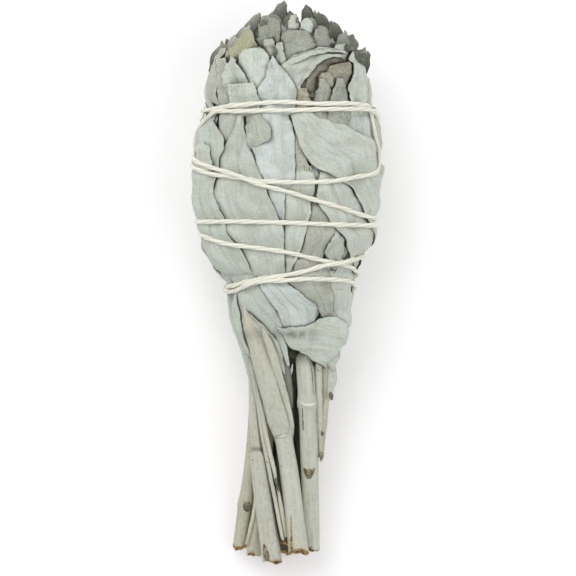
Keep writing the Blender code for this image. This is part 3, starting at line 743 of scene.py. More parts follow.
def shingled_rows():
    """Rows of leaves round the head: each with its own turn, tip, outline, size and colour."""
    for row, (tip_y, count, length, width) in enumerate(ROUND_ROWS):
        for index in range(count):
            turn = (index + 0.5 * (row % 2)) / count * 2 * math.pi + draw.uniform(-0.10, 0.10)
            tip = tip_y + draw.uniform(-2.5, 2.5)
            faces_camera = math.cos(turn) > FRONT_TURN
            if faces_camera:
                tip = max(tip, FRONT_TIP_LOW)
            root_turn = turn + draw.uniform(-0.16, 0.16)
            outline = BLUNT_OUTLINE if draw.random() < BLUNT_SHARE else POINTED_OUTLINE
            size = draw.uniform(0.85, 1.2)
            colour = LEAF_COLOURS[draw.integers(len(LEAF_COLOURS))]
            look = {"net": draw.choice((0.05, 0.2, 0.7)), "tan": draw.uniform(0.1, 0.8)}
            lift = draw.uniform(0.2, 1.2)
            swell = draw.uniform(0.2, 0.7)
            sweep = draw.uniform(-1.5, 1.5)
            root = max(tip - length * size, FRONT_ROOT_LOW if faces_camera else ROOT_LOW)
            sheet = outline_sheet(root_turn, root, turn, tip, width * size, outline, sweep)
            tucked = int(len(laid) == TUCKED_LEAF)
            lift = 0.0 if tucked else lift
            lay_leaf(*sheet, colour, ROW_LINES, (1, tucked), swell, lift, group="round", **look)


shingled_rows()
print("leaves laid:", len(laid), "mean reach:", round(float(field.mean()), 2))

# %% [markdown]
# ## The leaves that face the camera
# These are the leaves that make this bunch itself. Each is given by its left and right margin as a
# few pixels of the photograph from root to tip, and laid in order from the lowest to the uppermost.
# Along a margin a dark line of painted shadow stands for the gap under a leaf's edge; the stronger
# the line, the darker the gap reads.

# %% Leaves from their margins in the photograph
FRONT_GRID = (84, 27)
ARCSINE_LIMIT = 0.9


def through(points, count):
    """A smooth line through a few points, as count points at even steps along it."""
    points = np.asarray(points, float)
    marks = run_of(np.hypot(*np.diff(points, axis=0).T))
    at = np.linspace(0, marks[-1], count)
    return np.stack([smooth_through(at, marks, points[:, k]) for k in (0, 1)], axis=1)


def angle_seen(x, y):
    """The angle round the head under a camera straight above x and y. Past nine tenths of the
    half width the arcsine runs on as a straight line, so that a margin can turn the corner."""
    middle, _, width, _ = head_section(y)
    share = (x - middle) / width
    inner = np.clip(share, -ARCSINE_LIMIT, ARCSINE_LIMIT)
    return np.arcsin(inner) + (share - inner) / math.sqrt(1 - ARCSINE_LIMIT**2)


def ragged(edge, size):
    """The edge moved in both directions by three waves of seeded phase."""
    t = np.linspace(0, 2 * math.pi, len(edge))[:, None]
    a, b, c = draw.uniform(0, 2 * math.pi, (3, 1, 2))
    return edge + size * (0.5 * np.sin(3 * t + a) + 0.35 * np.sin(7 * t + b) + 0.14 * np.sin(16 * t + c))


def photo_sheet(left, right, rough):
    """Angles and ys of the ruled sheet between two margins."""
    rows, columns = FRONT_GRID
    first, second = (ragged(from_photo(through(edge, rows)), rough) for edge in (left, right))
    share = np.linspace(0, 1, columns)[None, :, None]
    seen = first[:, None] * (1 - share) + second[:, None] * share
    return angle_seen(seen[..., 0], seen[..., 1]), seen[..., 1]


# colour, strength of the painted shadow along the left and the right margin, other looks, left margin,
# right margin
BODY_LEAVES = (
    # leaves at the two sides
    (OLIVE, (0.9, 0.4), {}, ((348, 258), (356, 236), (363, 205), (368, 180), (368, 150), (364, 110)),
     ((361, 258), (369.5, 236), (376, 205), (383, 178), (386, 150), (382, 108))),
    (GREEN, (0.3, 0.8), {}, ((214, 246), (198, 205), (192, 170), (192, 140), (199, 110)),
     ((222, 246), (208, 200), (205, 160), (205, 135), (206, 108))),
    (GREEN, (0.5, 0.4), {}, ((350, 306), (354, 282), (358, 262), (361, 244)),
     ((353.5, 306), (357, 284), (360.6, 264), (364.6, 244))),
    # under the upper wraps
    (GREY, (0.8, 0.5), {"net": 0.1},
     ((216, 152), (212, 128), (213, 104)), ((230, 152), (236, 128), (240, 102))),
    (BROWN, (0.8, 0.9), {"net": 1.0},
     ((316, 142), (306, 125), (307, 98)), ((350, 150), (347, 128), (345, 100))),
    (BLUE, (0.4, 0.9), {}, ((345, 170), (346, 140), (345, 104)), ((376, 176), (371.6, 136), (366, 104))),
    (GREY, (0.5, 0.5), {"net": 0.2},
     ((292, 196), (295, 164), (294, 130)), ((312, 196), (309, 163), (297, 130))),
    (BROWN, (0.9, 0.9), {"swell": 1.2},
     ((312, 200), (306, 178), (303, 163)), ((320, 200), (313, 178), (306, 162))),
    (GREY, (0.9, 0.9), {"swell": 1.2},
     ((322, 202), (314, 180), (308, 166)), ((336, 202), (327, 184), (314, 167))),
    # the lower head, from the middle out
    (GREY, (0.3, 0.6), {"net": 0.3},
     ((292, 288), (296, 259), (302.5, 248.3), (307, 227.5), (309.7, 221), (313, 203)),
     ((330, 288), (328, 269), (326, 252), (336, 236), (328, 216), (321, 198))),
    (PALE, (0.9, 0.3), {"net": 0.2, "swell": 0.2},
     ((337, 272), (331, 260), (324.6, 251), (325.9, 245.7), (332.4, 234), (337, 227)),
     ((347, 272), (343.8, 258), (343, 244), (341, 238), (338.5, 231), (338, 226))),
    (PALE, (1.0, 0.9), {"tan": 0.1},
     ((356, 263), (350.6, 260), (348, 253.5), (344, 245.7), (340.9, 237.3), (335, 229.5), (329, 222),
      (324.6, 215.8), (319.4, 205.4), (317, 190), (322, 168)),
     ((357, 261), (364.5, 255), (368.9, 247), (369, 236.6), (367.8, 227.5), (365.4, 215.8),
      (363.4, 205.4), (357.6, 195), (349.2, 184.8), (341, 168))),
    (PALE, (0.5, 0.15), {"net": 0.1},
     ((286, 282), (285.6, 273), (284.7, 253.5), (284.3, 239), (284.3, 219.7), (285.6, 195), (288, 170)),
     ((288.5, 282), (293, 266), (299, 254), (303.5, 241), (307, 227.5), (312, 208), (315.5, 192),
      (312, 168))),
    (BLUE, (0.9, 0.6), {"tan": 0.1},
     ((284.5, 246), (284, 229), (279, 219.7), (273.9, 206.7), (268.7, 195), (262, 176), (258, 166)),
     ((284.8, 246), (284.7, 235), (284.3, 219.7), (285, 206), (285.6, 195), (287, 178), (286, 168))),
    (PALE, (0.15, 0.9), {"net": 0.2},
     ((256, 284), (247.8, 262), (239, 250.3), (231, 239.9), (224, 226), (219, 212), (213, 195),
      (212, 173), (214, 160), (223.7, 145), (230.8, 132.4), (233.7, 125), (234, 106)),
     ((288, 284), (285.6, 273), (284.7, 253.5), (284.7, 239), (283.6, 227.5), (279, 219.7),
      (273.9, 206.7), (268.7, 195), (262, 174), (253.3, 158.7), (246.7, 143.4), (243.5, 135.7),
      (240, 104))),
    (GREEN, (0.2, 1.0), {"tan": 0.5},
     ((231, 279), (219, 271), (209, 256), (201, 238), (195, 215), (192.5, 190), (192.5, 165), (196, 141),
      (198.5, 127), (201.4, 117.6)),
     ((255.5, 277), (247.8, 260), (240, 250.3), (232.9, 239.9), (227, 226), (220.5, 205.4), (215.3, 195),
      (213, 180), (216, 163), (223, 149), (220.8, 137.8), (212.5, 127.6), (202.6, 117.6))),
    (PALE, (0.1, 0.9), {"swell": 0.3, "tan": 0.0},
     ((196, 176), (193.5, 163), (195, 148), (200.5, 138.6)),
     ((210.2, 176), (210.2, 163.8), (209.2, 147), (202.6, 138.6))),
    # under the first wrap
    (BLUE, (0.5, 0.8), {"tan": 0.1, "net": 0.0},
     ((268, 190), (262.4, 175), (256, 160), (251, 145), (250, 128), (254, 108)),
     ((295.4, 190), (295.2, 160), (294.4, 136.2), (291.7, 122.6), (285.8, 111.8), (281, 104))),
    (OLIVE, (0.6, 0.7), {"net": 0.35, "tan": 0.2, "swell": 0.3},
     ((252, 153), (247, 142), (243.8, 130), (242, 118), (241, 104)),
     ((253.6, 153), (262, 145.5), (270.5, 141), (272, 131), (268.6, 124.5), (261.8, 117), (255, 104))),
    (PALE, (0.7, 0.45), {"tan": 0.6, "net": 0.05, "swell": 0.45},
     ((369, 252), (366, 230), (363.6, 216), (360, 201.5), (352, 188), (337, 178.8), (324.3, 172.4),
      (314.3, 167), (306, 157.6), (299.6, 146), (295.4, 133.4), (292, 121), (287, 109), (284, 102)),
     ((373, 252), (378, 228), (381, 204), (380, 186), (376, 170), (372, 154), (371.6, 141), (364, 136),
      (354, 132), (340.6, 124.5), (324.3, 117.2), (306, 110.4), (292, 102))),
)

# Their tips hang down under the last wrap and over the stems.
HANGING_LEAVES = (
    (GREEN, (0.2, 0.9), {"tan": 0.3},
     ((255, 412), (249, 392), (245, 374), (239, 347), (231, 323), (226, 292.4), (221, 272)),
     ((263, 412), (257.5, 385), (251.4, 364), (246, 341), (243, 322), (237, 303), (226, 276))),
    (GREEN, (0.9, 0.8), {"tan": 0.25, "net": 0.1},
     ((286, 366), (274.3, 347), (268.6, 334.5), (261, 325), (250.5, 312), (241.5, 303), (233, 291),
      (229, 274)),
     ((289, 366), (285.5, 345), (282.6, 326.9), (280, 316.3), (276.2, 309), (271, 299), (262.8, 286.7),
      (255, 272))),
    (PALE, (0.7, 0.8), {"tan": 0.2},
     ((333.5, 334), (332.8, 315.4), (331.7, 304), (330.8, 291.5), (329.8, 282), (329, 270)),
     ((340, 343), (343, 328.8), (348.6, 307.7), (354.4, 285.7), (357, 270))),
    (OLIVE, (0.9, 0.6), {"net": 0.5, "tan": 0.4},
     ((326, 320), (318.3, 309.7), (314.5, 305.8), (305.9, 299), (298.2, 291.5), (290, 283), (283, 270)),
     ((333, 320), (331.7, 304), (330.8, 291.5), (329.8, 282), (329, 268))),
    (BLUE, (0.8, 0.6), {"tan": 0.5},
     ((284, 330), (280, 318.3), (277.2, 311.6), (271.4, 301), (262.8, 288), (254, 272)),
     ((314, 328), (316.4, 318.3), (316.9, 311.6), (314, 305), (305.9, 299), (298.2, 291.5), (289.6, 284.8),
      (280, 270))),
    (OLIVE, (0.3, 0.9), {"tan": 0.8, "swell": 0.6},
     ((282, 374), (266, 352), (254, 336), (248, 321), (242.4, 305)),
     ((284.5, 374), (280.5, 358), (274, 340), (259, 320), (244.4, 305))),
)

# The torn flap lies over the stems with its two ragged margins across the bunch.
FLAP = (
    PALE, (0.8, 0.9), {"tan": 0.1, "net": 0.0, "swell": 0.5},
    ((275.8, 326), (282, 327.8), (296.3, 326.5), (305.9, 325), (311.6, 323.5), (318.3, 319.7), (325, 316.4),
     (331, 316.8), (337.4, 320.4), (341.6, 330)),
    ((277, 331), (282.4, 337.4), (287, 346), (294.4, 349.8), (306.8, 353.7), (315, 357), (321, 363.6),
     (328.8, 366.6), (335.5, 369.4), (338.6, 350)),
)

# The front of the crown, from the farthest leaves to those over them
CROWN_FRONT = (
    (DARK, (0.8, 0.9), {"tip_lift": 2.4},
     ((252, 50), (251, 34), (253, 22), (259, 17)), ((277, 50), (279, 36), (276, 22), (266, 17))),
    (OLIVE, (0.6, 0.9), {"tip_lift": 2.4},
     ((287, 46), (287, 30), (290, 16)), ((300, 46), (302, 30), (298, 15))),
    (GREEN, (0.6, 1.0), {"tip_lift": 2.1},
     ((300, 62), (300, 40), (303, 24), (308, 19)), ((319, 62), (319, 40), (318, 26), (312, 19))),
    (GREY, (0.7, 0.9), {"tip_lift": 2.1, "net": 0.9},
     ((316, 66), (315, 44), (318, 30), (324, 27)), ((341, 66), (341, 46), (337, 34), (330, 27))),
    (OLIVE, (0.8, 0.8), {"tip_lift": 1.8},
     ((336, 84), (334, 60), (336, 46)), ((352, 84), (352, 62), (349, 44))),
    (GREY, (0.9, 0.9), {"tip_lift": 1.8},
     ((204, 108), (201, 90), (207, 66), (213.5, 49)), ((214, 108), (215, 88), (219, 66), (218, 48))),
    (BROWN, (0.8, 0.9), {"tip_lift": 1.5, "tan": 1.0},
     ((216, 92), (217, 72), (222, 52)), ((228, 92), (232, 70), (231, 50))),
    (YELLOW, (0.7, 0.9), {"tip_lift": 2.1, "tan": 0.5},
     ((231, 84), (228, 62), (231, 42), (238, 32)), ((251, 84), (254, 60), (254, 44), (248, 31))),
    (GREY, (0.9, 0.9), {"tip_lift": 1.8},
     ((262, 70), (260, 54), (264, 41)), ((275, 70), (277, 56), (272, 40))),
    (OLIVE, (0.9, 0.9), {"tip_lift": 2.1, "net": 0.9},
     ((285, 74), (280, 50), (281, 36), (288, 31)), ((312, 74), (315, 52), (313, 38), (306, 32))),
    (PALE, (0.8, 1.0), {"tip_lift": 1.5},
     ((273, 84), (273, 64), (276, 44)), ((285, 84), (286, 64), (282, 43))),
    (BROWN, (0.6, 0.8), {"tip_lift": 1.2, "net": 1.0, "tan": 0.9},
     ((306, 112), (308, 84), (314, 66), (322, 58)), ((350, 112), (352, 84), (348, 66), (338, 57))),
    (PALE, (0.8, 0.9), {"tip_lift": 1.5},
     ((245, 106), (239, 84), (238, 63.8), (242, 52.7), (249, 50)),
     ((266, 106), (269, 84), (269.3, 66), (268, 56), (259, 48.4))),
    (GREY, (0.9, 0.6), {"tip_lift": 1.2},
     ((214, 112), (216, 94), (219, 74), (221, 60)), ((228, 112), (229, 92), (229, 74), (226, 59))),
    (GREEN, (0.7, 1.0), {"tip_lift": 1.2, "tan": 0.6},
     ((228, 116), (226, 92), (226, 72), (231.6, 58)), ((252, 116), (251, 94), (246, 76), (234, 58))),
    (BROWN, (0.9, 0.9), {"tip_lift": 1.4, "net": 0.6, "tan": 1.0},
     ((328, 92), (326, 80), (328, 68), (334, 64.5)),
     ((345, 92), (349, 80), (349, 66), (343, 63))),
    (TAN, (0.9, 0.9), {"tip_lift": 1.0, "net": 0.6, "tan": 0.6},
     ((318, 96), (317, 84), (319.5, 75)), ((329, 96), (329, 84), (325.5, 73))),
    (OLIVE, (0.8, 0.2), {"tip_lift": 0.6, "net": 0.8},
     ((315, 122), (314.4, 98), (317.0, 80)), ((331, 122), (330, 98), (319.6, 79.4))),
    (OLIVE, (0.2, 0.8), {"tip_lift": 0.8, "net": 0.8},
     ((328, 126), (327, 100), (330.6, 80)), ((348, 128), (347, 98), (336.6, 80.5))),
    (GREEN, (1.0, 0.9), {"tip_lift": 0.8},
     ((360, 116), (361, 90), (362, 68), (362.4, 56)), ((376, 116), (373, 94), (370, 78), (364, 56))),
    (PALE, (1.0, 0.8), {"tip_lift": 1.2},
     ((347, 118), (346, 96), (348, 66), (351.6, 47)), ((366, 118), (366, 92), (364, 68), (354, 46.6))),
    (BROWN, (0.9, 0.9), {"tip_lift": 0.9},
     ((296, 112), (295, 100), (299, 90)), ((312, 112), (312, 100), (307, 90))),
    (PALE, (0.7, 0.9), {"tip_lift": 1.2, "swell": 0.9, "tan": 0.2},
     ((290, 96), (283, 82), (281, 67), (289, 60), (305, 53.3), (318, 49), (331, 49.4), (340, 52.6)),
     ((298, 94), (305, 84), (311, 76), (318, 66), (328, 59.6), (339.6, 57), (340.6, 56), (341.4, 54.6))),
    (BLUE, (0.8, 1.0), {"tip_lift": 1.0, "tan": 0.8, "swell": 0.6},
     ((258, 116), (257, 100), (259.6, 89.8), (266, 76), (271.4, 57)),
     ((296, 116), (297, 100), (296, 88), (287, 75), (279, 66), (273, 57))),
    (PALE, (0.3, 0.3), {"tip_lift": 0.0, "swell": 0.2},
     ((229, 118), (228, 102), (230, 86)), ((257, 118), (260, 102), (256, 84.5))),
    (OLIVE, (0.5, 0.9), {"tip_lift": 0.9, "swell": 0.7},
     ((280.6, 67), (291, 60.4), (307, 54), (322, 50.6), (335, 52.4), (341, 55)),
     ((289, 71), (299, 63.6), (311, 58), (324, 54.4), (335, 54.8), (341.4, 55.8))),
)

# Deep gaps between the crown's leaves, dark in painted shade: each is laid as a small dark leaf between two
# margins.
HOLE_LINES = (0.6, 0.6)
HOLE_LOOK = {"swell": 0.0, "net": 0.0, "tan": 0.0}
CROWN_HOLES = (
    (((257, 29), (256.4, 25), (259, 21.4)), ((263, 27.6), (263.6, 24), (261, 21.2))),
    (((346.6, 53), (345.2, 48), (346.4, 44.4)), ((350, 53), (350.8, 49), (349, 45))),
    (((297, 25), (296.8, 22), (297.8, 18.6)), ((300, 25), (300.2, 22), (299, 18.6))),
    (((273.6, 58), (273.2, 53), (274.2, 49)), ((276.4, 58), (276.6, 53), (275.2, 49))),
    (((313.8, 47), (312.8, 41), (311.8, 34)), ((315.6, 47), (314.8, 41), (312.8, 34))),
    (((308.6, 100), (310.4, 96.5), (312, 93)), ((315.4, 100), (314, 96), (312.8, 93))),
)


def lay_from_photo(leaves, sunk, rough, swell=0.45):
    """Lays the leaves of a table in its order. sunk says how far root and tip go in."""
    for colour, margin_shadows, look, left, right in leaves:
        lay_leaf(*photo_sheet(left, right, rough), colour, margin_shadows, sunk, **{"swell": swell, **look})


crown_holes = [(GAP_SHADE, HOLE_LINES, HOLE_LOOK, *margins) for margins in CROWN_HOLES]
lay_from_photo(BODY_LEAVES, (1, 1), 0.22)
lay_from_photo(HANGING_LEAVES, (0, 1), 0.25)
lay_from_photo([FLAP], (0.5, 0), 0.35)
lay_from_photo([*CROWN_FRONT, *crown_holes], (1, 0), 0.26, 1.0)
print("leaves laid:", len(laid), "mean reach:", round(float(field.mean()), 2))

# %% [markdown]
# ## The twine presses the leaves
# The twine was wound while the leaves were soft, so it lies in a groove, and the leaves swell
# between the turns. The route repeats the one of the solids. It is drawn on the same cells as the
# height field, and its neighbourhood is pressed in by a bell curve.

# %% Route of the twine, and its groove
TWINE_RADIUS = 0.74
PRESS_DEPTH = 1.1
PRESS_REACH = 2.4
PRESS_CELLS = 18
PRESS_BLUR = 3
ROUTE_STEP = 0.5
ROUTE_RADIUS = HEAD_STATIONS[4, 2]
SIDE_SHARE = 0.985

# "over" points give x and y as the camera sees them, "round" points degrees round the bunch and y
TWINE_ROUTE = (
    ("round", -250, 54.6), ("round", -215, 56.0), ("round", -180, 57.2), ("round", -130, 60.4),
    ("over", -30.6, 61.6), ("over", -17.8, 62.8), ("over", -2.8, 63.8), ("over", 9.7, 63.2),
    ("over", 23.0, 63.1), ("over", 28.4, 61.6), ("over", 30.0, 56.6), ("over", 31.4, 50.8),
    ("over", 32.2, 45.4), ("over", 30.6, 40.4), ("over", 23.2, 37.3), ("over", 13.9, 35.8),
    ("over", 5.0, 35.5),
    ("over", -8.9, 35.8), ("over", -21.0, 37.5), ("over", -27.1, 38.3), ("round", -78, 42.4),
    ("round", -120, 47.4), ("round", -180, 50.0), ("round", -232, 46.2), ("round", -258, 42.6),
    ("round", -265, 50.0), ("round", -275, 57.0), ("over", 28.0, 61.0), ("over", 18.6, 61.4),
    ("over", 9.7, 61.2), ("over", 2.5, 60.9), ("over", -8.5, 60.8), ("over", -17.8, 60.6),
    ("over", -29.6, 59.9), ("round", -442, 55.0), ("round", -446, 48.0), ("over", -32.2, 43.6),
    ("over", -27.8, 40.9), ("over", -17.8, 37.7), ("over", -8.9, 34.4), ("over", 0.4, 31.9),
    ("over", 9.7, 29.1), ("over", 18.6, 26.4), ("over", 26.8, 23.4), ("round", -262, 22.6),
    ("round", -180, 23.4), ("round", -100, 22.4), ("over", -30.0, 21.6), ("over", -17.8, 21.6),
    ("over", -1.7, 21.2), ("over", 7.2, 20.9), ("over", 16.4, 20.5), ("over", 27.0, 20.3),
    ("round", 96, 19.4), ("round", 180, 17.6), ("round", 256, 17.4), ("over", -29.4, 16.6),
    ("over", -22.5, 13.9), ("over", -11.7, 12.3), ("over", -1.8, 10.9), ("over", 7.2, 8.9),
    ("over", 17.7, 6.6), ("over", 23.2, 5.2), ("round", 440, 3.8), ("round", 540, 1.0),
    ("round", 622, -1.6), ("over", -20.5, -1.0), ("over", -12.0, 0.8), ("over", -1.8, 2.5),
    ("over", 5.0, 3.9), ("over", 11.8, 5.9), ("over", 18.6, 7.2), ("round", 796, 9.2),
    ("round", 850, 9.6), ("round", 910, 5.0), ("round", 975, -1.8), ("over", -21.2, -3.2),
    ("over", -15.7, -1.6), ("over", -8.7, 0.4), ("over", -1.8, 0.7), ("over", 5.0, 1.2),
    ("over", 11.8, 1.2), ("over", 21.6, 0.4), ("round", 1168, -1.4), ("round", 1198, -2.6),
)


def route():
    """The route as angles that run on without a break and ys, at even steps of its length."""
    angles, ys = [], []
    for kind, first, y in TWINE_ROUTE:
        angle = math.radians(first)
        if kind == "over":
            middle, _, width, _ = head_section(y)
            angle = math.asin(float(np.clip((first - middle) / width, -SIDE_SHARE, SIDE_SHARE)))
            angle += 2 * math.pi * round((angles[-1] - angle) / (2 * math.pi))
        angles.append(angle)
        ys.append(y)
    marks = run_of(np.hypot(np.diff(angles) * ROUTE_RADIUS, np.diff(ys)))
    at = np.arange(0, marks[-1], ROUTE_STEP)
    return smooth_through(at, marks, angles), smooth_through(at, marks, ys)


def groove_field(angle, y):
    """How far each cell is pressed: exp(-(distance / reach) squared), the highest of all steps."""
    groove = np.zeros_like(field)
    reach = np.arange(-PRESS_CELLS, PRESS_CELLS + 1)
    di, dj = np.meshgrid(reach, reach, indexing="ij")
    cell_width = head_radius(angle, y) * 2 * math.pi / ANGLE_CELLS
    i, j = field_cells(angle, y)
    distance = np.hypot(di[None] * cell_width[:, None, None], dj[None] * FIELD_STEP)
    strength = np.exp(-((distance / PRESS_REACH) ** 2))
    rows = (i[:, None, None] + di) % ANGLE_CELLS
    columns = np.clip(j[:, None, None] + dj, 0, Y_CELLS - 1)
    np.maximum.at(groove, (rows, columns), strength)
    return blurred(groove, PRESS_BLUR)


route_angle, route_y = route()
groove = groove_field(route_angle, route_y)
print("twine route in mm:", round(len(route_angle) * ROUTE_STEP))

# %% Leaf bodies from the laid sheets
SHADE_DEPTH = 1.8
SHADE_BLUR = 5
FRONT_PIECE = 14
ROUND_PIECE = 80


def read_field(values, angle, y):
    """The field between its cells, by straight lines in both directions."""
    at_i = angle / (2 * math.pi) * ANGLE_CELLS - 0.5
    at_j = np.clip((y - FIELD_LOW) / FIELD_STEP - 0.5, 0, Y_CELLS - 1.001)
    i, j = np.floor(at_i).astype(int), at_j.astype(int)
    s, t = at_i - i, at_j - j
    first = values[i % ANGLE_CELLS, j] * (1 - t) + values[i % ANGLE_CELLS, j + 1] * t
    second = values[(i + 1) % ANGLE_CELLS, j] * (1 - t) + values[(i + 1) % ANGLE_CELLS, j + 1] * t
    return first * (1 - s) + second * s


def leaf_body(sheet, cover):
    """A closed blade from a laid sheet, pressed in under the twine, and shaded where its
    neighbours lie higher."""
    pressed = PRESS_DEPTH * read_field(groove, sheet["angle"], sheet["y"])
    top = on_head(sheet["angle"], sheet["y"], sheet["top"] - pressed)
    low = on_head(sheet["angle"], sheet["y"], sheet["low"] - pressed)
    depth = read_field(cover, sheet["angle"], sheet["y"]) - sheet["top"]
    shade = np.clip(depth / SHADE_DEPTH, 0, 0.9) ** 0.8
    values = leaf_values(sheet["margin"], sheet["line"], shade, sheet["place"], **sheet["look"])
    return *shell(top, low), values


cover = blurred(field, SHADE_BLUR)
for group, most in (("front", FRONT_PIECE), ("round", ROUND_PIECE)):
    blades = [leaf_body(sheet, cover) for sheet in laid if sheet["group"] == group]
    for number, start in enumerate(range(0, len(blades), most), 1):
        make_piece(f"{group}_leaves_{number}", blades[start:start + most], leaf, "leaf_head")

# %% [markdown]
# ## The crown's standing leaves
# At the top end the leaves stand along the bunch and are seen from their tips. Each is a cupped
# blade on a line from root to tip that bows by 2 c u (1 - u), and its cross-section is an arc.

# %% Standing leaves
STANDING_GRID = (30, 13)
CROWN_REACH = (26.0, 22.0)
CROWN_SPREAD = 0.30
CROWN_UP = 1.1
CROWN_LAST_Y = 88.0
TIP_STATIONS = (0.0, 0.25, 0.5, 0.72, 0.84, 0.92, 0.97, 1.0)
ROUND_TIP = (0.45, 0.75, 0.95, 1.0, 0.92, 0.75, 0.5, 0.12)
CROWN_COLOURS = (OLIVE, GREEN, GREY, DARK, DARK, BROWN)

# tip x, tip y, tip height over the middle line, width, length, curl, cup in radians, colour, lean
CROWN_TIPS = (
    (-2.1, 99.8, 3.0, 6.0, 24.0, -2.0, 1.8, ASH, 0.40),
    (-5.5, 95.6, 5.5, 7.0, 24.0, 1.5, 0.8, GREY, 0.0),
    (5.7, 98.2, 2.0, 7.5, 26.0, 2.0, -2.2, DARK, -0.10),
    (11.4, 95.6, 4.0, 7.0, 24.0, -2.0, 1.8, DARK, -0.50),
    (15.4, 92.6, 6.0, 7.0, 24.0, 2.5, -2.4, DARK, -0.20),
    (19.6, 89.0, 8.0, 7.0, 22.0, 2.5, 2.0, GREEN, -0.20),
    (-11.0, 95.6, 4.0, 5.5, 24.0, 2.0, 1.9, ASH, 0.70),
    (-8.7, 92.6, 9.0, 9.0, 22.0, 2.0, 4.6, GREY, 0.0),
    (-14.6, 91.0, 6.0, 7.0, 22.0, 2.0, -1.8, OLIVE, 0.40),
    (-19.0, 87.4, 7.0, 8.0, 22.0, 2.0, 1.2, GREY, 0.25),
    (1.6, 94.0, 8.0, 8.0, 22.0, 1.0, -1.4, GREY, 0.0),
    (-1.8, 91.0, 11.0, 5.0, 20.0, 1.0, 2.2, GREY, 0.1),
    (7.6, 93.6, 7.5, 7.5, 22.0, 2.0, 1.2, GREEN, -0.1),
    (-0.4, 96.6, 0.0, 8.0, 24.0, 1.0, 1.4, DARK, 0.1),
    (9.0, 96.6, -2.0, 8.0, 24.0, 1.0, 1.4, GREY, -0.1),
)
# leaves, distance from the middle as a share of the reach, y of the tips, length
CROWN_RINGS = (
    (3, 0.16, 95.5, 24.0), (7, 0.38, 94.5, 24.0), (11, 0.62, 91.5, 23.0), (15, 0.86, 87.5, 22.0),
    (17, 1.02, 83.0, 22.0),
)
# rings farther out than this share leave out what faces the camera, by the cosine of its turn
INNER_SHARE = 0.3
CAMERA_SIDE = 0.35


def standing_leaf(tip, width, length, curl, cup, colour, lean=0.0, hook=0.0):
    """A cupped blade: root to tip on a bowed line, across it an arc of the angle cup, a rounded
    tip, and its ragged margin in waves. It faces outwards, and partly up. A hook bends its tip."""
    even, v = leaf_grid(*STANDING_GRID)
    u = np.sin(even * math.pi / 2)
    middle, height, _, _ = head_section(min(tip[1], CROWN_LAST_Y))
    aside = np.array((tip[0] - float(middle), 0.0, tip[2] - float(height)))
    reach = np.linalg.norm(aside)
    outwards = aside / reach if reach > 1.0 else np.array((0.0, 0.0, 1.0))
    facing = unit(outwards + np.array((0.0, 0.0, CROWN_UP * (outwards[2] > -0.6))))
    spread = CROWN_SPREAD * min(reach / CROWN_REACH[0], 1.0)
    along = unit(np.array((lean, 1.0, 0.0)) + outwards * spread)
    across = unit(np.cross(along, facing))
    facing = np.cross(across, along)
    half = smooth_through(u, TIP_STATIONS, ROUND_TIP) * width / 2
    phase = draw.uniform(0, 2 * math.pi)
    half = half * (1 + 0.07 * np.sin(23 * u + phase) + 0.03 * np.sin(41 * u - phase + 2 * np.sign(v)))
    turn = v * cup / 2
    sideways = np.sin(turn) / (cup / 2) * half
    inward = (1 - np.cos(turn)) / (cup / 2) * half
    bow = 2 * curl * u * (1 - u) + 0.25 * np.sin(9 * u + phase) * np.abs(v)
    torn = 0.6 * np.sin(2.2 * v + phase)
    centre = np.asarray(tip) - along * (length * (1 - u) + torn * u**4)[..., None]
    bow = bow + hook * u**4
    sheet = centre + across * sideways[..., None] + facing * (bow - inward)[..., None]
    normal = np.cross(np.gradient(sheet, axis=0), np.gradient(sheet, axis=1))
    normal /= np.maximum(np.linalg.norm(normal, axis=-1, keepdims=True), 1e-9)
    half_blade = (BLADE / 2 * (1 - 0.5 * v**4))[..., None]
    points, quads = shell(sheet + normal * half_blade, sheet - normal * half_blade)
    margin = (1 - np.abs(v)) * half
    place = np.stack([u * length + 0 * v, v * half, 0 * margin + draw.uniform(0, 900)], axis=-1)
    shade = np.clip(1.0 - 1.6 * (u - 0.42), 0, 0.95) + 0 * v
    net, tan = draw.choice((0.1, 0.5, 1.0)), draw.uniform(0.2, 1.0)
    # the margin's painted shadow line at 0.9
    return points, quads, leaf_values(margin, 0 * margin + 0.9, shade, place, colour, net, tan)


def crown():
    """The tips seen in the photograph, then rings of leaves for the rest of the crown."""
    made = []
    for x, y, rise, width, length, curl, cup, colour, lean in CROWN_TIPS:
        tip = (x, y, float(axis_height(y)) + rise)
        made.append(standing_leaf(tip, width, length, curl, cup, colour, lean))
    for ring, (count, share, tip_y, length) in enumerate(CROWN_RINGS):
        for index in range(count):
            turn = 2 * math.pi * (index + 0.5 * (ring % 2)) / count + draw.uniform(-0.15, 0.15)
            y = tip_y + draw.uniform(-2.0, 1.6)
            width, curl = draw.uniform(6.5, 10.0), draw.uniform(-1.5, 2.5)
            cup, lean = draw.uniform(0.7, 2.4) * draw.choice((-1, 1, 1)), draw.uniform(-0.16, 0.16)
            hook = draw.uniform(-3.0, 2.0)
            colour = CROWN_COLOURS[draw.integers(len(CROWN_COLOURS))]
            if math.cos(turn) > CAMERA_SIDE and share > INNER_SHARE:
                continue
            x = CROWN_REACH[0] * share * math.sin(turn)
            z = float(axis_height(y)) + CROWN_REACH[1] * share * math.cos(turn)
            made.append(standing_leaf((x, y, z), width, length, curl, cup, colour, lean, hook))
    return made


make_piece("crown_leaves", crown(), leaf, "leaf_head")

# %% [markdown]
# ## Inside of the bunch, and the leaf that it rests on
# Between the leaves one looks into the dark: a crumpled body just under the lowest leaves closes
# the view, dark in painted shade. Under the belly one leaf is pressed flat, and the bunch rests on
# it and on its stems.

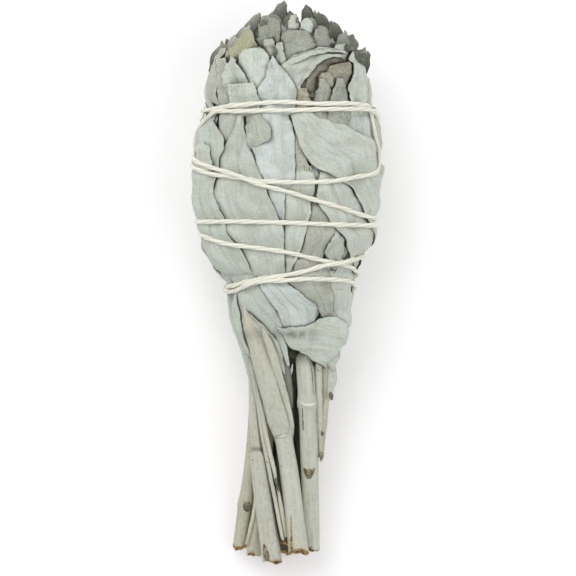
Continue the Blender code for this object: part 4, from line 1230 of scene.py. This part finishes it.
# %% Core and pressed leaf
CORE_YS = (-31.0, -30.0, -27.0, -20.0, 0.0, 40.0, 70.0, 80.0, 84.0, 86.0)
CORE_DEPTHS = (13.0, 9.0, 6.6, 5.4, 5.0, 5.0, 5.2, 7.0, 10.0, 14.0)
CORE_GRID = (90, 96)
# along y, from the neck's side to the crown's side
PRESSED_YS = (26.8, 30.0, 36.0, 43.8, 47.4, 56.0, 66.0)
PRESSED_HALF_WIDTHS = (3.0, 8.0, 11.0, 10.0, 9.0, 7.0, 5.0)
PRESSED_HEIGHTS = (0.0, 0.0, 0.0, 0.0, 0.9, 4.0, 9.0)


def core_body():
    """The head's ovals lowered by the depths above, with a crumple of crossing waves."""
    y = np.linspace(CORE_YS[0], CORE_YS[-1], CORE_GRID[0])[:, None]
    turn = full_turn(CORE_GRID[1])
    depth = np.interp(y, CORE_YS, CORE_DEPTHS)
    crumple = 0.35 * np.sin(7 * turn + 0.31 * y) + 0.3 * np.sin(0.8 * y - 11 * turn)
    points, quads = tube(on_head(turn, y, crumple - depth - flank_dip(turn, y)))
    return points, quads, {"shade": np.zeros(len(points))}


def pressed_body():
    """A flat blade: its half width and the height of its underside follow the tables along y."""
    u, v = leaf_grid(*ROW_GRID)
    y = PRESSED_YS[-1] + (PRESSED_YS[0] - PRESSED_YS[-1]) * u
    half = np.interp(y, PRESSED_YS, PRESSED_HALF_WIDTHS)
    low = np.interp(y, PRESSED_YS, PRESSED_HEIGHTS) + 0 * v
    x, y = half * v, y + 0 * v
    margin = (1 - np.abs(v)) * half
    body = shell(np.stack([x, y, low + BLADE], axis=-1), np.stack([x, y, low], axis=-1))
    place = np.stack([y, x, 0 * x], axis=-1)
    # the margin's painted shadow line at half strength
    return *body, leaf_values(margin, 0 * x + 0.5, 0 * x, place, OLIVE, 0.5, 0.5)


make_piece("leaf_inside", [core_body()], inside, "leaf_head")
make_piece("pressed_leaf", [pressed_body()], leaf, "leaf_head")

# %% [markdown]
# ## The twine
# Cotton twine of three plies: the radius round its section is r (1 + d cos 3 (a - twist s)), with s
# the length along it, so that three lobes wind round as the plies do. It lies on the pressed
# leaves and is pulled taut between them, and a later turn rises over the turns that it crosses.

# %% Twine on the leaves
TWINE_SIDES = 18
PLY_DEPTH = 0.07
TWIST_PER_MM = 0.30
RING_STEP = 0.8
TAUT_ROUNDS = 160
CROSSING_GAP = 1.45
CROSSING_ROUNDS = 2
# how the section is squeezed, across and away from the head
TWINE_SQUEEZE = (1.08, 0.92)


def taut(needed, middle, away):
    """Pulls the line straight: each point goes to the middle of its neighbours, but never nearer
    to the head's middle line than it needs to be."""
    rho = needed.copy()
    for _ in range(TAUT_ROUNDS):
        points = middle + rho[:, None] * away
        halfway = (points[:-2] + points[2:]) / 2
        rho[1:-1] = np.maximum(needed[1:-1], np.einsum("ij,ij->i", halfway - middle[1:-1], away[1:-1]))
    return rho


def over_crossings(needed, rho, middle, away):
    """Raises each point that passes over an earlier turn by the height of two round sections."""
    turn = int(4 * CROSSING_GAP / ROUTE_STEP)
    lifted = needed.copy()
    points = middle + rho[:, None] * away
    for i in range(turn, len(points)):
        gap = points[: i - turn] - points[i]
        up = gap @ away[i]
        aside = np.sqrt(np.maximum((gap**2).sum(axis=1) - up**2, 0.0))
        near = (aside < CROSSING_GAP) & (np.abs(up) < 4 * CROSSING_GAP)
        if near.any():
            over = rho[i] + up[near] + np.sqrt(CROSSING_GAP**2 - aside[near] ** 2)
            lifted[i] = max(lifted[i], over.max())
    return lifted


def twine_line():
    """The middle of the twine: the pressed field under it, plus its radius, pulled taut."""
    middle_x, middle_z, width, thickness = head_section(route_y)
    middle = np.stack([middle_x, route_y, middle_z], axis=1)
    reach = read_field(blurred(field, 2) - PRESS_DEPTH * groove, route_angle, route_y)
    surface = on_head(route_angle, route_y, reach)
    away = surface - middle
    distance = np.linalg.norm(away, axis=1)
    away /= distance[:, None]
    needed = distance + TWINE_RADIUS * 0.85
    rho = taut(needed, middle, away)
    for _ in range(CROSSING_ROUNDS):
        rho = taut(over_crossings(needed, rho, middle, away), middle, away)
    line = middle + rho[:, None] * away
    line[:, 2] = np.maximum(line[:, 2], TWINE_RADIUS * 1.1)
    return line, away


def across_frames(line, side):
    """Two unit vectors across the line at each point, the second one nearest to a given side."""
    along = unit(np.gradient(line, axis=0))
    across = unit(np.cross(along, side))
    return across, np.cross(across, along)


def rings_round(line, side, sideways, upward):
    """Rings of points round a line, from how far each point lies sideways and upward of it."""
    across, up = across_frames(line, side)
    return line[:, None] + across[:, None] * sideways[..., None] + up[:, None] * upward[..., None]


def twine_body():
    """Rings of three lobes along the taut line, a little uneven in thickness."""
    line, away = twine_line()
    marks = run_of(np.linalg.norm(np.diff(line, axis=0), axis=1))
    s = np.arange(0, marks[-1], RING_STEP)
    centre = np.stack([np.interp(s, marks, line[:, k]) for k in range(3)], axis=1)
    side = np.stack([np.interp(s, marks, away[:, k]) for k in range(3)], axis=1)
    s, turn = s[:, None], full_turn(TWINE_SIDES)
    lobes = np.cos(3 * (turn - TWIST_PER_MM * s))
    uneven = 1 + 0.05 * np.sin(0.9 * s) + 0.04 * np.sin(0.37 * s + 1.3)
    radius = TWINE_RADIUS * uneven * (1 + PLY_DEPTH * lobes)
    wide, high = TWINE_SQUEEZE
    rings = rings_round(centre, side, radius * np.cos(turn) * wide, radius * np.sin(turn) * high)
    place = with_caps(np.stack(np.broadcast_arrays(s, np.cos(turn), np.sin(turn)), axis=-1))
    # how deep in the groove between plies each point lies, for the painted shade there
    ply_shade_mask = np.concatenate([((1 - lobes) / 2).ravel(), [1.0, 1.0]])
    print("twine length in mm:", round(float(marks[-1])))
    return *tube(rings), {"place": place, "groove": ply_shade_mask}


make_piece("wound_twine", [twine_body()], cotton, "twine")

# %% [markdown]
# ## The stems
# Sage stems are square with rounded corners, grooved lengthwise, and swell at each joint, where
# two leaves grew. The cut ends are ragged, tan inside with a brown pith. A stem is a profile with
# radius r(a, y) carried along the middle line of its solid.

# %% Stem measures, as in the solids
HEAD_Y = -26.0
NECK_Y = -50.0
STEM_TOP_Y = -12.0
JOINT_SWELL = 0.17
JOINT_LENGTH = 2.6
STEM_GRID = (150, 40)
SQUARENESS = 0.055
GROOVE_DEPTH = 0.07
END_RAGGEDNESS = 0.75
# rings of the cut face: share of the radius, and how far the face is sunk there
CUT_FACE = ((0.93, -0.25), (0.78, 0.35), (0.55, 0.9), (0.3, 1.5))
# stems after this one are hidden behind the others, and their upper side is painted in shade
LAST_SEEN_STEM = 6
# the outer skin of this stem is torn off above a y
TORN_STEM = 3
TORN_Y = -60.4
TORN_RADIUS = (0.72, 1.08)
STEM_GREY = felt(200, 203, 190)
STEM_GREEN = felt(196, 198, 184)
STEM_TAN = felt(196, 192, 172)

# radius at the head, radius at the cut end, y of the cut end, then x and height over the middle
# line at the head, at the neck and at the cut end, y of the joint or None, colour
STEMS = (
    (3.2, 3.7, -96.5, (-10.6, 5.7), (-3.2, 5.8), (3.6, 5.9), -53.5, STEM_GREY),
    (3.1, 3.2, -95.6, (5.5, 5.2), (6.9, 4.6), (8.0, 0.1), -43.4, STEM_GREY),
    (1.9, 3.4, -99.8, (-13.2, -1.0), (-12.3, 3.4), (-6.0, 4.7), None, STEM_GREEN),
    (2.4, 2.6, -95.0, (-11.6, -6.4), (-12.0, -2.7), (-17.6, -5.8), -79.0, STEM_TAN),
    (2.4, 2.5, -97.6, (-5.8, -0.8), (-7.3, 0.0), (-12.6, -2.7), None, STEM_TAN),
    (1.3, 1.3, -62.0, (15.2, 1.4), (12.3, 1.8), (11.2, -0.3), -50.5, STEM_TAN),
    (3.0, 3.2, -93.5, (0.2, -1.2), (-1.2, -2.3), (-2.0, -2.5), -70.0, STEM_GREY),
    (3.0, 3.0, -96.0, (7.6, -3.3), (6.3, -3.4), (4.9, -6.9), -61.0, STEM_GREEN),
    (3.2, 3.3, -94.0, (-5.2, -7.3), (-6.4, -6.7), (-8.3, -7.2), -84.0, STEM_GREY),
    (2.7, 2.8, -97.0, (2.3, -8.2), (1.6, -8.4), (-2.0, -9.6), -75.0, STEM_TAN),
)


# %% Stems with joints, grooves and cut ends
def stem_line(spec, y):
    """The middle of a stem at y, and its plain radius."""
    head_radius, end_radius, end_y, at_head, at_neck, at_end = spec[:6]
    marks = (end_y, NECK_Y, HEAD_Y)
    xs, rises = np.array((at_end, at_neck, at_head)).T
    lean = (xs[2] - xs[1]) / (HEAD_Y - NECK_Y) / 2
    below = np.minimum(y, HEAD_Y)
    x = smooth_through(below, marks, xs) + (y - below) * lean
    z = axis_height(y) + smooth_through(below, marks, rises)
    share = (below - end_y) / (HEAD_Y - end_y)
    return x, z, end_radius + (head_radius - end_radius) * share


def stem_body(spec, number):
    """A ring of points at each y: radius times 1 + rounded square + groove + joint + bark. The
    last rings turn in to a ragged cut face."""
    end_y, joint_y, colour = spec[2], spec[6], spec[7]
    rows, columns = STEM_GRID
    t = np.linspace(0, 1, rows)[:, None]
    y = STEM_TOP_Y + (end_y - STEM_TOP_Y) * t
    turn = full_turn(columns)
    x, z, radius = stem_line(spec, y)
    twist = 0.4 * end_y + 0.004 * (y - end_y)
    from_groove = turn - twist - 0.6
    square = SQUARENESS * np.cos(4 * (turn - twist))
    groove = -GROOVE_DEPTH * np.exp(-((np.sin(from_groove) / 0.16) ** 2)) * (np.cos(from_groove) > 0)
    p, q = np.random.default_rng(40 + number).uniform(0, 2 * math.pi, 2)
    bark = 0.014 * np.sin(11 * turn + 0.05 * y + p) + 0.016 * np.sin(0.23 * y + q + 2 * turn)
    swell = 0.0
    if joint_y is not None:
        off = (y - joint_y) / JOINT_LENGTH
        swell = JOINT_SWELL * np.exp(-(off**2)) - 0.05 * np.exp(-(((off + 0.75) / 0.18) ** 2))
    size = radius * (1 + square + groove + bark + swell)
    if number == TORN_STEM:
        torn_edge = TORN_Y + 0.8 * np.sin(2 * turn + p) + 0.4 * np.sin(7 * turn)
        size = size * np.interp(torn_edge - y, (0.0, 0.5), TORN_RADIUS)
    waves = 0.8 * np.sin(turn) + 0.5 * np.sin(turn + p) + 0.45 * np.sin(2 * turn + q)
    waves = END_RAGGEDNESS * (waves + 0.35 * np.sin(3 * turn - p) + 0.2 * np.sin(7 * turn + q))
    ring_y = y + waves * np.clip((t - 0.94) / 0.06, 0, 1)
    share, inset = (column[:, None] for column in np.array(CUT_FACE).T)
    spread = np.concatenate([size, size[-1:] * share])
    x, z, s = (np.concatenate([value, value[-1:] + 0 * share]) for value in (x, z, y))
    face_y = end_y + waves * share + inset
    aside, upward = spread * np.cos(turn), spread * np.sin(turn)
    rings = np.stack([x + aside, np.concatenate([ring_y, face_y]), np.maximum(z + upward, 0.0)], axis=-1)
    points, quads = tube(rings)
    cut = np.zeros(spread.shape)
    cut[rows:] = 1.0
    cut[rows - 2:rows] = 0.30 + 0.24 * np.sin(2 * turn + q)
    # painted shade: darker where the stem runs in under the leaves of the head
    deep = np.clip((ring_y - HEAD_Y + 4) / 6, 0, 0.8)
    # painted shade in a dark band just above the torn collar
    if number == TORN_STEM:
        deep = np.maximum(deep, 0.6 * np.exp(-(((ring_y - TORN_Y - 0.9) / 0.7) ** 2)))
    # painted shade on the upper side of the hidden stems, so that the gaps between stems read dark
    if number > LAST_SEEN_STEM:
        deep = np.maximum(deep, 0.8 * np.clip(0.6 + np.sin(turn), 0, 1))
    shade = np.concatenate([deep, 0 * face_y])
    place = np.stack([s + 0 * turn, aside + 17 * number, upward], axis=-1)
    # the cap at the top, inside the head, is painted in shade
    values = {
        "cut": np.concatenate([cut.ravel(), [0.0, 1.0]]),
        "shade": np.concatenate([shade.ravel(), [0.8, 0.0]]),
        "place": with_caps(place),
        "colour": np.tile(colour, (len(points), 1)),
    }
    return points, quads, values


for number, spec in enumerate(STEMS, 1):
    body = stem_body(spec, number)
    make_piece(f"bare_stem_{number:02d}", [body], stem_skin, f"stem_{number:02d}")

# %% [markdown]
# ## Sheaths, splinters and scars
# Where leaves were stripped off, their sheaths stay on the stems as wedges and long strips, bark
# splits off in splinters, and a torn leaf leaves a brown scar. Narrow remnants of leaves hang on at
# the neck. Each is a flat tube along a line of pixels in the photograph, and either lies on what is
# under it or runs at a height of its own. Some carry painted light: dark slits and shaded strips are
# painted shade, and pale crescents across two joints are painted highlight.

# %% Strips that lie on the stems
STRIP_GRID = (60, 12)
STRIP_SINK = 0.7
PEACH = felt(216, 206, 182)
SHEATH = felt(190, 195, 182)
CREAM = felt(206, 206, 188)
BARK = felt(198, 201, 186)
# painted shade in the slits and gaps between stems and splinters, and the dark end of some scars
SLIT_SHADE_AND_DARK_SCAR = felt(74, 72, 58)
UMBER = felt(108, 82, 54)
# white fibres and splinters, and the painted highlight on two swollen joints
FIBRE_AND_JOINT_HIGHLIGHT = felt(240, 240, 232)

# stem, colour at the start and the end, cut, shade, flatness, then x and y in pixels, height over
# the middle line in mm or None on the surface, half width in mm
STRIPS = (
    (1, PEACH, SHEATH, 0.0, 0.0, 0.30,
     ((243.9, 305, None, 0.2), (248, 318, None, 1.5), (253, 332, None, 2.7),
     (257.5, 345, None, 3.2), (261.5, 362, None, 3.4), (266, 378, None, 3.5), (272, 400, None, 3.5),
     (278, 421, None, 3.7), (281.6, 435, None, 2.9))),
    (1, CREAM, BARK, 0.0, 0.0, 0.50,
     ((262.6, 328, None, 0.5), (267.5, 340, 12.4, 1.2), (272.4, 354, 10.6, 1.6),
     (278.5, 375, 9.0, 1.5), (285.0, 397, 8.2, 1.25), (290.6, 421, 7.2, 1.1), (291.2, 432, 6.6, 1.0),
     (291.4, 441, 5.2, 0.4))),
    # a strip painted in shade beside the sheath
    (1, STEM_GREY, STEM_GREY, 0.0, 0.62, 0.6,
     ((276, 344, 8.0, 1.6), (283, 366, 7.0, 2.2), (288.6, 390, 6.0, 1.5),
     (291.6, 408, 5.0, 0.5))),
    # a dark slit: painted shade
    (1, SLIT_SHADE_AND_DARK_SCAR, SLIT_SHADE_AND_DARK_SCAR, 0.0, 0.0, 0.35,
     ((277.6, 386, None, 0.12), (282.0, 401, None, 0.20), (286.2, 414, None, 0.26),
     (289.3, 425.4, None, 0.12))),
    # a pale crescent across the swollen joint: painted highlight
    (1, FIBRE_AND_JOINT_HIGHLIGHT, FIBRE_AND_JOINT_HIGHLIGHT, 0.0, 0.0, 0.35,
     ((272.6, 430.5, None, 0.25), (277.6, 435.4, None, 0.6), (283.6, 435, None, 0.6),
     (288.4, 430.5, None, 0.2))),
    # a pale crescent across the swollen joint: painted highlight
    (2, FIBRE_AND_JOINT_HIGHLIGHT, FIBRE_AND_JOINT_HIGHLIGHT, 0.0, 0.0, 0.35,
     ((299.4, 402, None, 0.2), (305, 405, None, 0.5), (311, 405, None, 0.5),
     (317, 402.4, None, 0.2))),
    (3, STEM_GREEN, CREAM, 0.15, 0.0, 0.8, ((249.5, 358, 4.0, 0.25), (253.6, 378, 4.6, 0.8),
     (258.5, 402, 5.2, 1.0), (262, 430, 6.0, 0.9), (266, 454, 6.8, 0.8),
     (273.4, 492, 7.3, 0.7), (281.6, 535, 7.6, 0.6), (283.6, 541, 7.4, 0.3))),
    (3, BARK, CREAM, 0.0, 0.0, 0.8,
     ((256.6, 388, 5.8, 0.2), (262, 412, 6.8, 0.8), (267.8, 444, 7.4, 0.8), (274, 470, 7.8, 0.7),
     (277.5, 492, 7.8, 0.2))),
    (3, CREAM, STEM_TAN, 0.25, 0.0, 0.6,
     ((277.0, 484, 7.0, 0.3), (281.8, 512, 7.2, 0.8), (285.6, 538, 7.0, 0.5))),
    (3, SLIT_SHADE_AND_DARK_SCAR, SLIT_SHADE_AND_DARK_SCAR, 0.0, 0.0, 0.4,
     ((275, 474, 8.0, 0.15), (276.4, 484, 8.3, 0.5), (278.4, 492, 8.2, 0.15))),
    (4, GREEN, GREEN, 0.0, 0.0, 0.35,
     ((229.5, 291, -1.0, 1.0), (233, 305, 0.0, 1.9), (236.2, 318, 1.0, 2.4),
     (239, 330, 2.0, 2.1), (242.4, 342, 3.0, 1.6), (247, 361, 3.0, 1.2), (251.8, 380, 3.0, 1.15),
     (254.5, 398, 3.0, 0.7), (256, 410, 3.0, 0.25))),
    (5, FIBRE_AND_JOINT_HIGHLIGHT, CREAM, 0.0, 0.0, 0.7,
     ((257.2, 497, 1.6, 0.4), (252, 522, 0.8, 0.7), (246.4, 546, -0.2, 0.5))),
    (6, GREEN, GREEN, 0.0, 0.0, 0.25,
     ((336.5, 338, 1.0, 1.2), (334.4, 349, 3.0, 2.2), (332.6, 357, 4.6, 2.6),
     (332.2, 363, 5.2, 1.8), (333.8, 369.5, 5.2, 0.5))),
    (6, BARK, STEM_GREEN, 0.0, 0.0, 0.8,
     ((318.2, 358, 4.6, 1.3), (319.2, 392, 4.6, 1.2), (320.4, 430, 4.0, 0.9),
     (321, 462, 3.2, 0.4))),
    (6, STEM_TAN, STEM_TAN, 0.0, 0.2, 0.8,
     ((324.5, 362, 3.0, 1.5), (324.6, 390, 3.0, 1.2), (323.0, 418, 2.2, 0.8),
     (322, 434, 2.0, 0.3))),
    (6, GREEN, GREEN, 0.0, 0.0, 0.3, ((330, 362, 2.0, 1.8), (331, 378, 2.6, 2.2), (330, 392, 2.8, 1.2),
     (329.5, 401, 2.8, 0.3))),
    (6, UMBER, SLIT_SHADE_AND_DARK_SCAR, 0.25, 0.0, 0.8,
     ((330, 392, 4.6, 0.3), (331.4, 396, 4.8, 0.85), (332, 400, 4.4, 0.3))),
    (6, UMBER, SLIT_SHADE_AND_DARK_SCAR, 0.25, 0.0, 0.9,
     ((321.4, 430, 4.4, 0.2), (322.2, 433.5, 4.4, 0.7), (321.8, 437, 4.2, 0.2))),
    (6, UMBER, SLIT_SHADE_AND_DARK_SCAR, 0.25, 0.0, 0.9,
     ((320.8, 452, 4.0, 0.2), (321.8, 456, 4.0, 0.8), (321.2, 461, 3.8, 0.2))),
    (2, UMBER, SLIT_SHADE_AND_DARK_SCAR, 0.10, 0.0, 0.30,
     ((303.8, 468.6, None, 0.35), (306.4, 472.5, None, 0.85), (309.0, 480.6, None, 0.3))),
    (2, UMBER, SLIT_SHADE_AND_DARK_SCAR, 0.10, 0.0, 0.30,
     ((314.6, 468.6, None, 0.35), (311.8, 472.5, None, 0.85), (309.4, 480.6, None, 0.3))),
    (2, UMBER, UMBER, 0.50, 0.0, 0.30,
     ((309.2, 469.5, None, 0.4), (309.2, 473, None, 0.9), (309.2, 478, None, 0.4))),
    (2, SLIT_SHADE_AND_DARK_SCAR, SLIT_SHADE_AND_DARK_SCAR, 0.0, 0.0, 0.35,
     ((302.6, 408, None, 0.15), (303.0, 420, None, 0.30), (303.4, 434, None, 0.12))),
    (2, SLIT_SHADE_AND_DARK_SCAR, SLIT_SHADE_AND_DARK_SCAR, 0.0, 0.0, 0.35,
     ((307, 357, None, 0.12), (311.6, 371, None, 0.22), (313.5, 399, None, 0.12))),
    (4, UMBER, SLIT_SHADE_AND_DARK_SCAR, 0.12, 0.0, 0.35,
     ((246.6, 503.0, None, 0.8), (246.8, 508.0, None, 1.5), (247, 513, None, 0.7))),
    (1, SLIT_SHADE_AND_DARK_SCAR, SLIT_SHADE_AND_DARK_SCAR, 0.7, 0.0, 0.45,
     ((291.0, 516, None, 0.12), (291.4, 535, None, 0.35), (292.0, 553, None, 0.75))),
    (3, UMBER, UMBER, 0.10, 0.0, 0.5,
     ((264.0, 545, None, 0.3), (265.8, 554, None, 1.1), (267.6, 561, None, 0.8))),
    (2, FIBRE_AND_JOINT_HIGHLIGHT, FIBRE_AND_JOINT_HIGHLIGHT, 0.0, 0.0, 0.5,
     ((292.6, 364, 5.5, 0.12), (291.4, 371, 5.0, 0.5), (289.8, 378, 4.6, 0.12))),
)


def lie_on(pieces, highest_y):
    """A tree of all faces of the pieces below a y, for looking straight down at them."""
    points, faces, start = [], [], 0
    for piece in pieces:
        mesh = piece.data
        co = np.empty(3 * len(mesh.vertices), np.float32)
        mesh.vertices.foreach_get("co", co)
        co = co.reshape(-1, 3)
        corner = np.empty(len(mesh.loops), np.int32)
        mesh.loops.foreach_get("vertex_index", corner)
        quads = corner.reshape(-1, 4)
        quads = quads[co[quads[:, 0], 1] < highest_y * MM]
        used, numbers = np.unique(quads, return_inverse=True)
        points.extend(co[used].tolist())
        faces.extend((numbers.reshape(-1, 4) + start).tolist())
        start += len(used)
    return BVHTree.FromPolygons(points, faces)


def height_under(tree, x, y):
    """The highest point under x and y in mm, or -1 where there is only floor."""
    spot = (np.array((x, y, 0.0)) + CENTRE_SHIFT) * MM
    hit = tree.ray_cast((spot[0], spot[1], 1.0), (0.0, 0.0, -1.0))[0]
    return -1.0 if hit is None else hit[2] / MM


def strip_body(spec, tree, number):
    """A flat tube along a smooth line: half width across, flatness times that in height, rough in
    two waves. Its line lies on what is under it, or at the heights given, and sinks in at the end."""
    _, first, last, cut, shade, flat, path = spec
    rows, columns = STRIP_GRID
    t = np.linspace(0, 1, rows)
    marks = np.linspace(0, 1, len(path))
    xy = from_photo([(px, py) for px, py, _, _ in path])
    x, y = (smooth_through(t, marks, xy[:, k]) for k in (0, 1))
    half = smooth_through(t, marks, [row[3] for row in path])
    z = np.array([height_under(tree, *spot) for spot in zip(x, y)]) + 0.25 * flat * half
    if any(row[2] is not None for row in path):
        at = np.round(marks * (rows - 1)).astype(int)
        given = [z[i] if row[2] is None else row[2] + axis_height(y[i]) for i, row in zip(at, path)]
        z = np.interp(t, marks, given)
    z = np.convolve(np.pad(z, 3, mode="edge"), np.ones(7) / 7, mode="valid")
    z = z - STRIP_SINK * np.clip((t - 0.85) / 0.15, 0, 1) ** 2
    centre = np.stack([x, y, z], axis=1)
    y, half, turn = y[:, None], half[:, None], full_turn(columns)
    p, q = np.random.default_rng(70 + number).uniform(0, 2 * math.pi, 2)
    rough = np.sin(3 * turn + 1.3 * y + p) + 0.7 * np.sin(2.9 * y + q + turn)
    size = half * (1 + 0.08 * rough / (1 + half))
    rings = rings_round(centre, (0.0, 0.0, 1.0), size * np.cos(turn), flat * size * np.sin(turn))
    rings[..., 2] = np.maximum(rings[..., 2], 0.0)
    points, quads = tube(rings)
    place = np.stack([y + 0 * turn, size * np.cos(turn) + 9.0 * number, size * np.sin(turn)], axis=-1)
    share = np.concatenate([np.repeat(t, columns), [0.0, 1.0]])[:, None] ** 0.4
    values = {
        "cut": np.full(len(points), cut),
        "shade": np.full(len(points), shade),
        "place": with_caps(place),
        "colour": np.array(first) * (1 - share) + np.array(last) * share,
    }
    return points, quads, values


under_strips = [piece for piece in bpy.data.objects if piece.name.startswith(("bare_stem", "front_leaves"))]
tree = lie_on(under_strips, 0.0)
for stem in sorted({spec[0] for spec in STRIPS}):
    strips = [strip_body(spec, tree, k) for k, spec in enumerate(STRIPS) if spec[0] == stem]
    make_piece(f"stem_strips_{stem:02d}", strips, stem_skin, f"stem_{stem:02d}")

# %% [markdown]
# ## Floor and light
# A pale floor, a wide soft light over the bunch and a bright surround, as in a plain product
# photograph: the shadows are short and soft.

# %% Stage
FLOOR_SIZE = 3.0
FLOOR_COLOUR = (0.93, 0.925, 0.94, 1.0)
FLOOR_GLOW = 0.18
WHITE = (1.0, 1.0, 1.0, 1.0)
SURROUND_COLOUR = (1.0, 0.99, 0.98, 1.0)
SURROUND_STRENGTH = 0.52
# name, power in watts, place; both are squares of the same size that point at the bunch
LIGHTS = (("key", 6.2, (-0.35, 0.55, 0.9)), ("fill", 2.6, (0.6, -0.1, 0.8)))
LIGHT_SIZE = 0.9
LIT_POINT = np.array((0.0, 0.0, 0.02))


def stage():
    """A square of pale paper that glows a little, so that it stays bright under the bunch."""
    mesh = bpy.data.meshes.new("floor")
    half = FLOOR_SIZE / 2
    corners = [(-half, -half, 0), (half, -half, 0), (half, half, 0), (-half, half, 0)]
    mesh.from_pydata(corners, [], [(0, 1, 2, 3)])
    floor = bpy.data.objects.new("floor", mesh)
    bpy.context.scene.collection.objects.link(floor)
    paper = bpy.data.materials.new("paper")
    paper.use_nodes = True
    shader = paper.node_tree.nodes["Principled BSDF"]
    shader.inputs["Base Color"].default_value = FLOOR_COLOUR
    shader.inputs["Roughness"].default_value = 0.9
    shader.inputs["Emission Color"].default_value = WHITE
    shader.inputs["Emission Strength"].default_value = FLOOR_GLOW
    mesh.materials.append(paper)


def soft_light(name, power, place):
    """A square light, tipped and turned so that it points at the bunch."""
    data = bpy.data.lights.new(name, "AREA")
    data.shape = "SQUARE"
    data.size = LIGHT_SIZE
    data.energy = power
    light = bpy.data.objects.new(name, data)
    light.location = place
    away = np.array(place) - LIT_POINT
    tip = math.acos(away[2] / np.linalg.norm(away))
    light.rotation_euler = (tip, 0.0, math.atan2(away[1], away[0]) + math.pi / 2)
    bpy.context.scene.collection.objects.link(light)


stage()
for spec in LIGHTS:
    soft_light(*spec)
world = bpy.data.worlds.new("surround")
world.use_nodes = True
surround = world.node_tree.nodes["Background"]
surround.inputs["Color"].default_value = SURROUND_COLOUR
surround.inputs["Strength"].default_value = SURROUND_STRENGTH
bpy.context.scene.world = world
bpy.context.scene.view_settings.view_transform = "Standard"
print("lights:", [name for name, _, _ in LIGHTS])
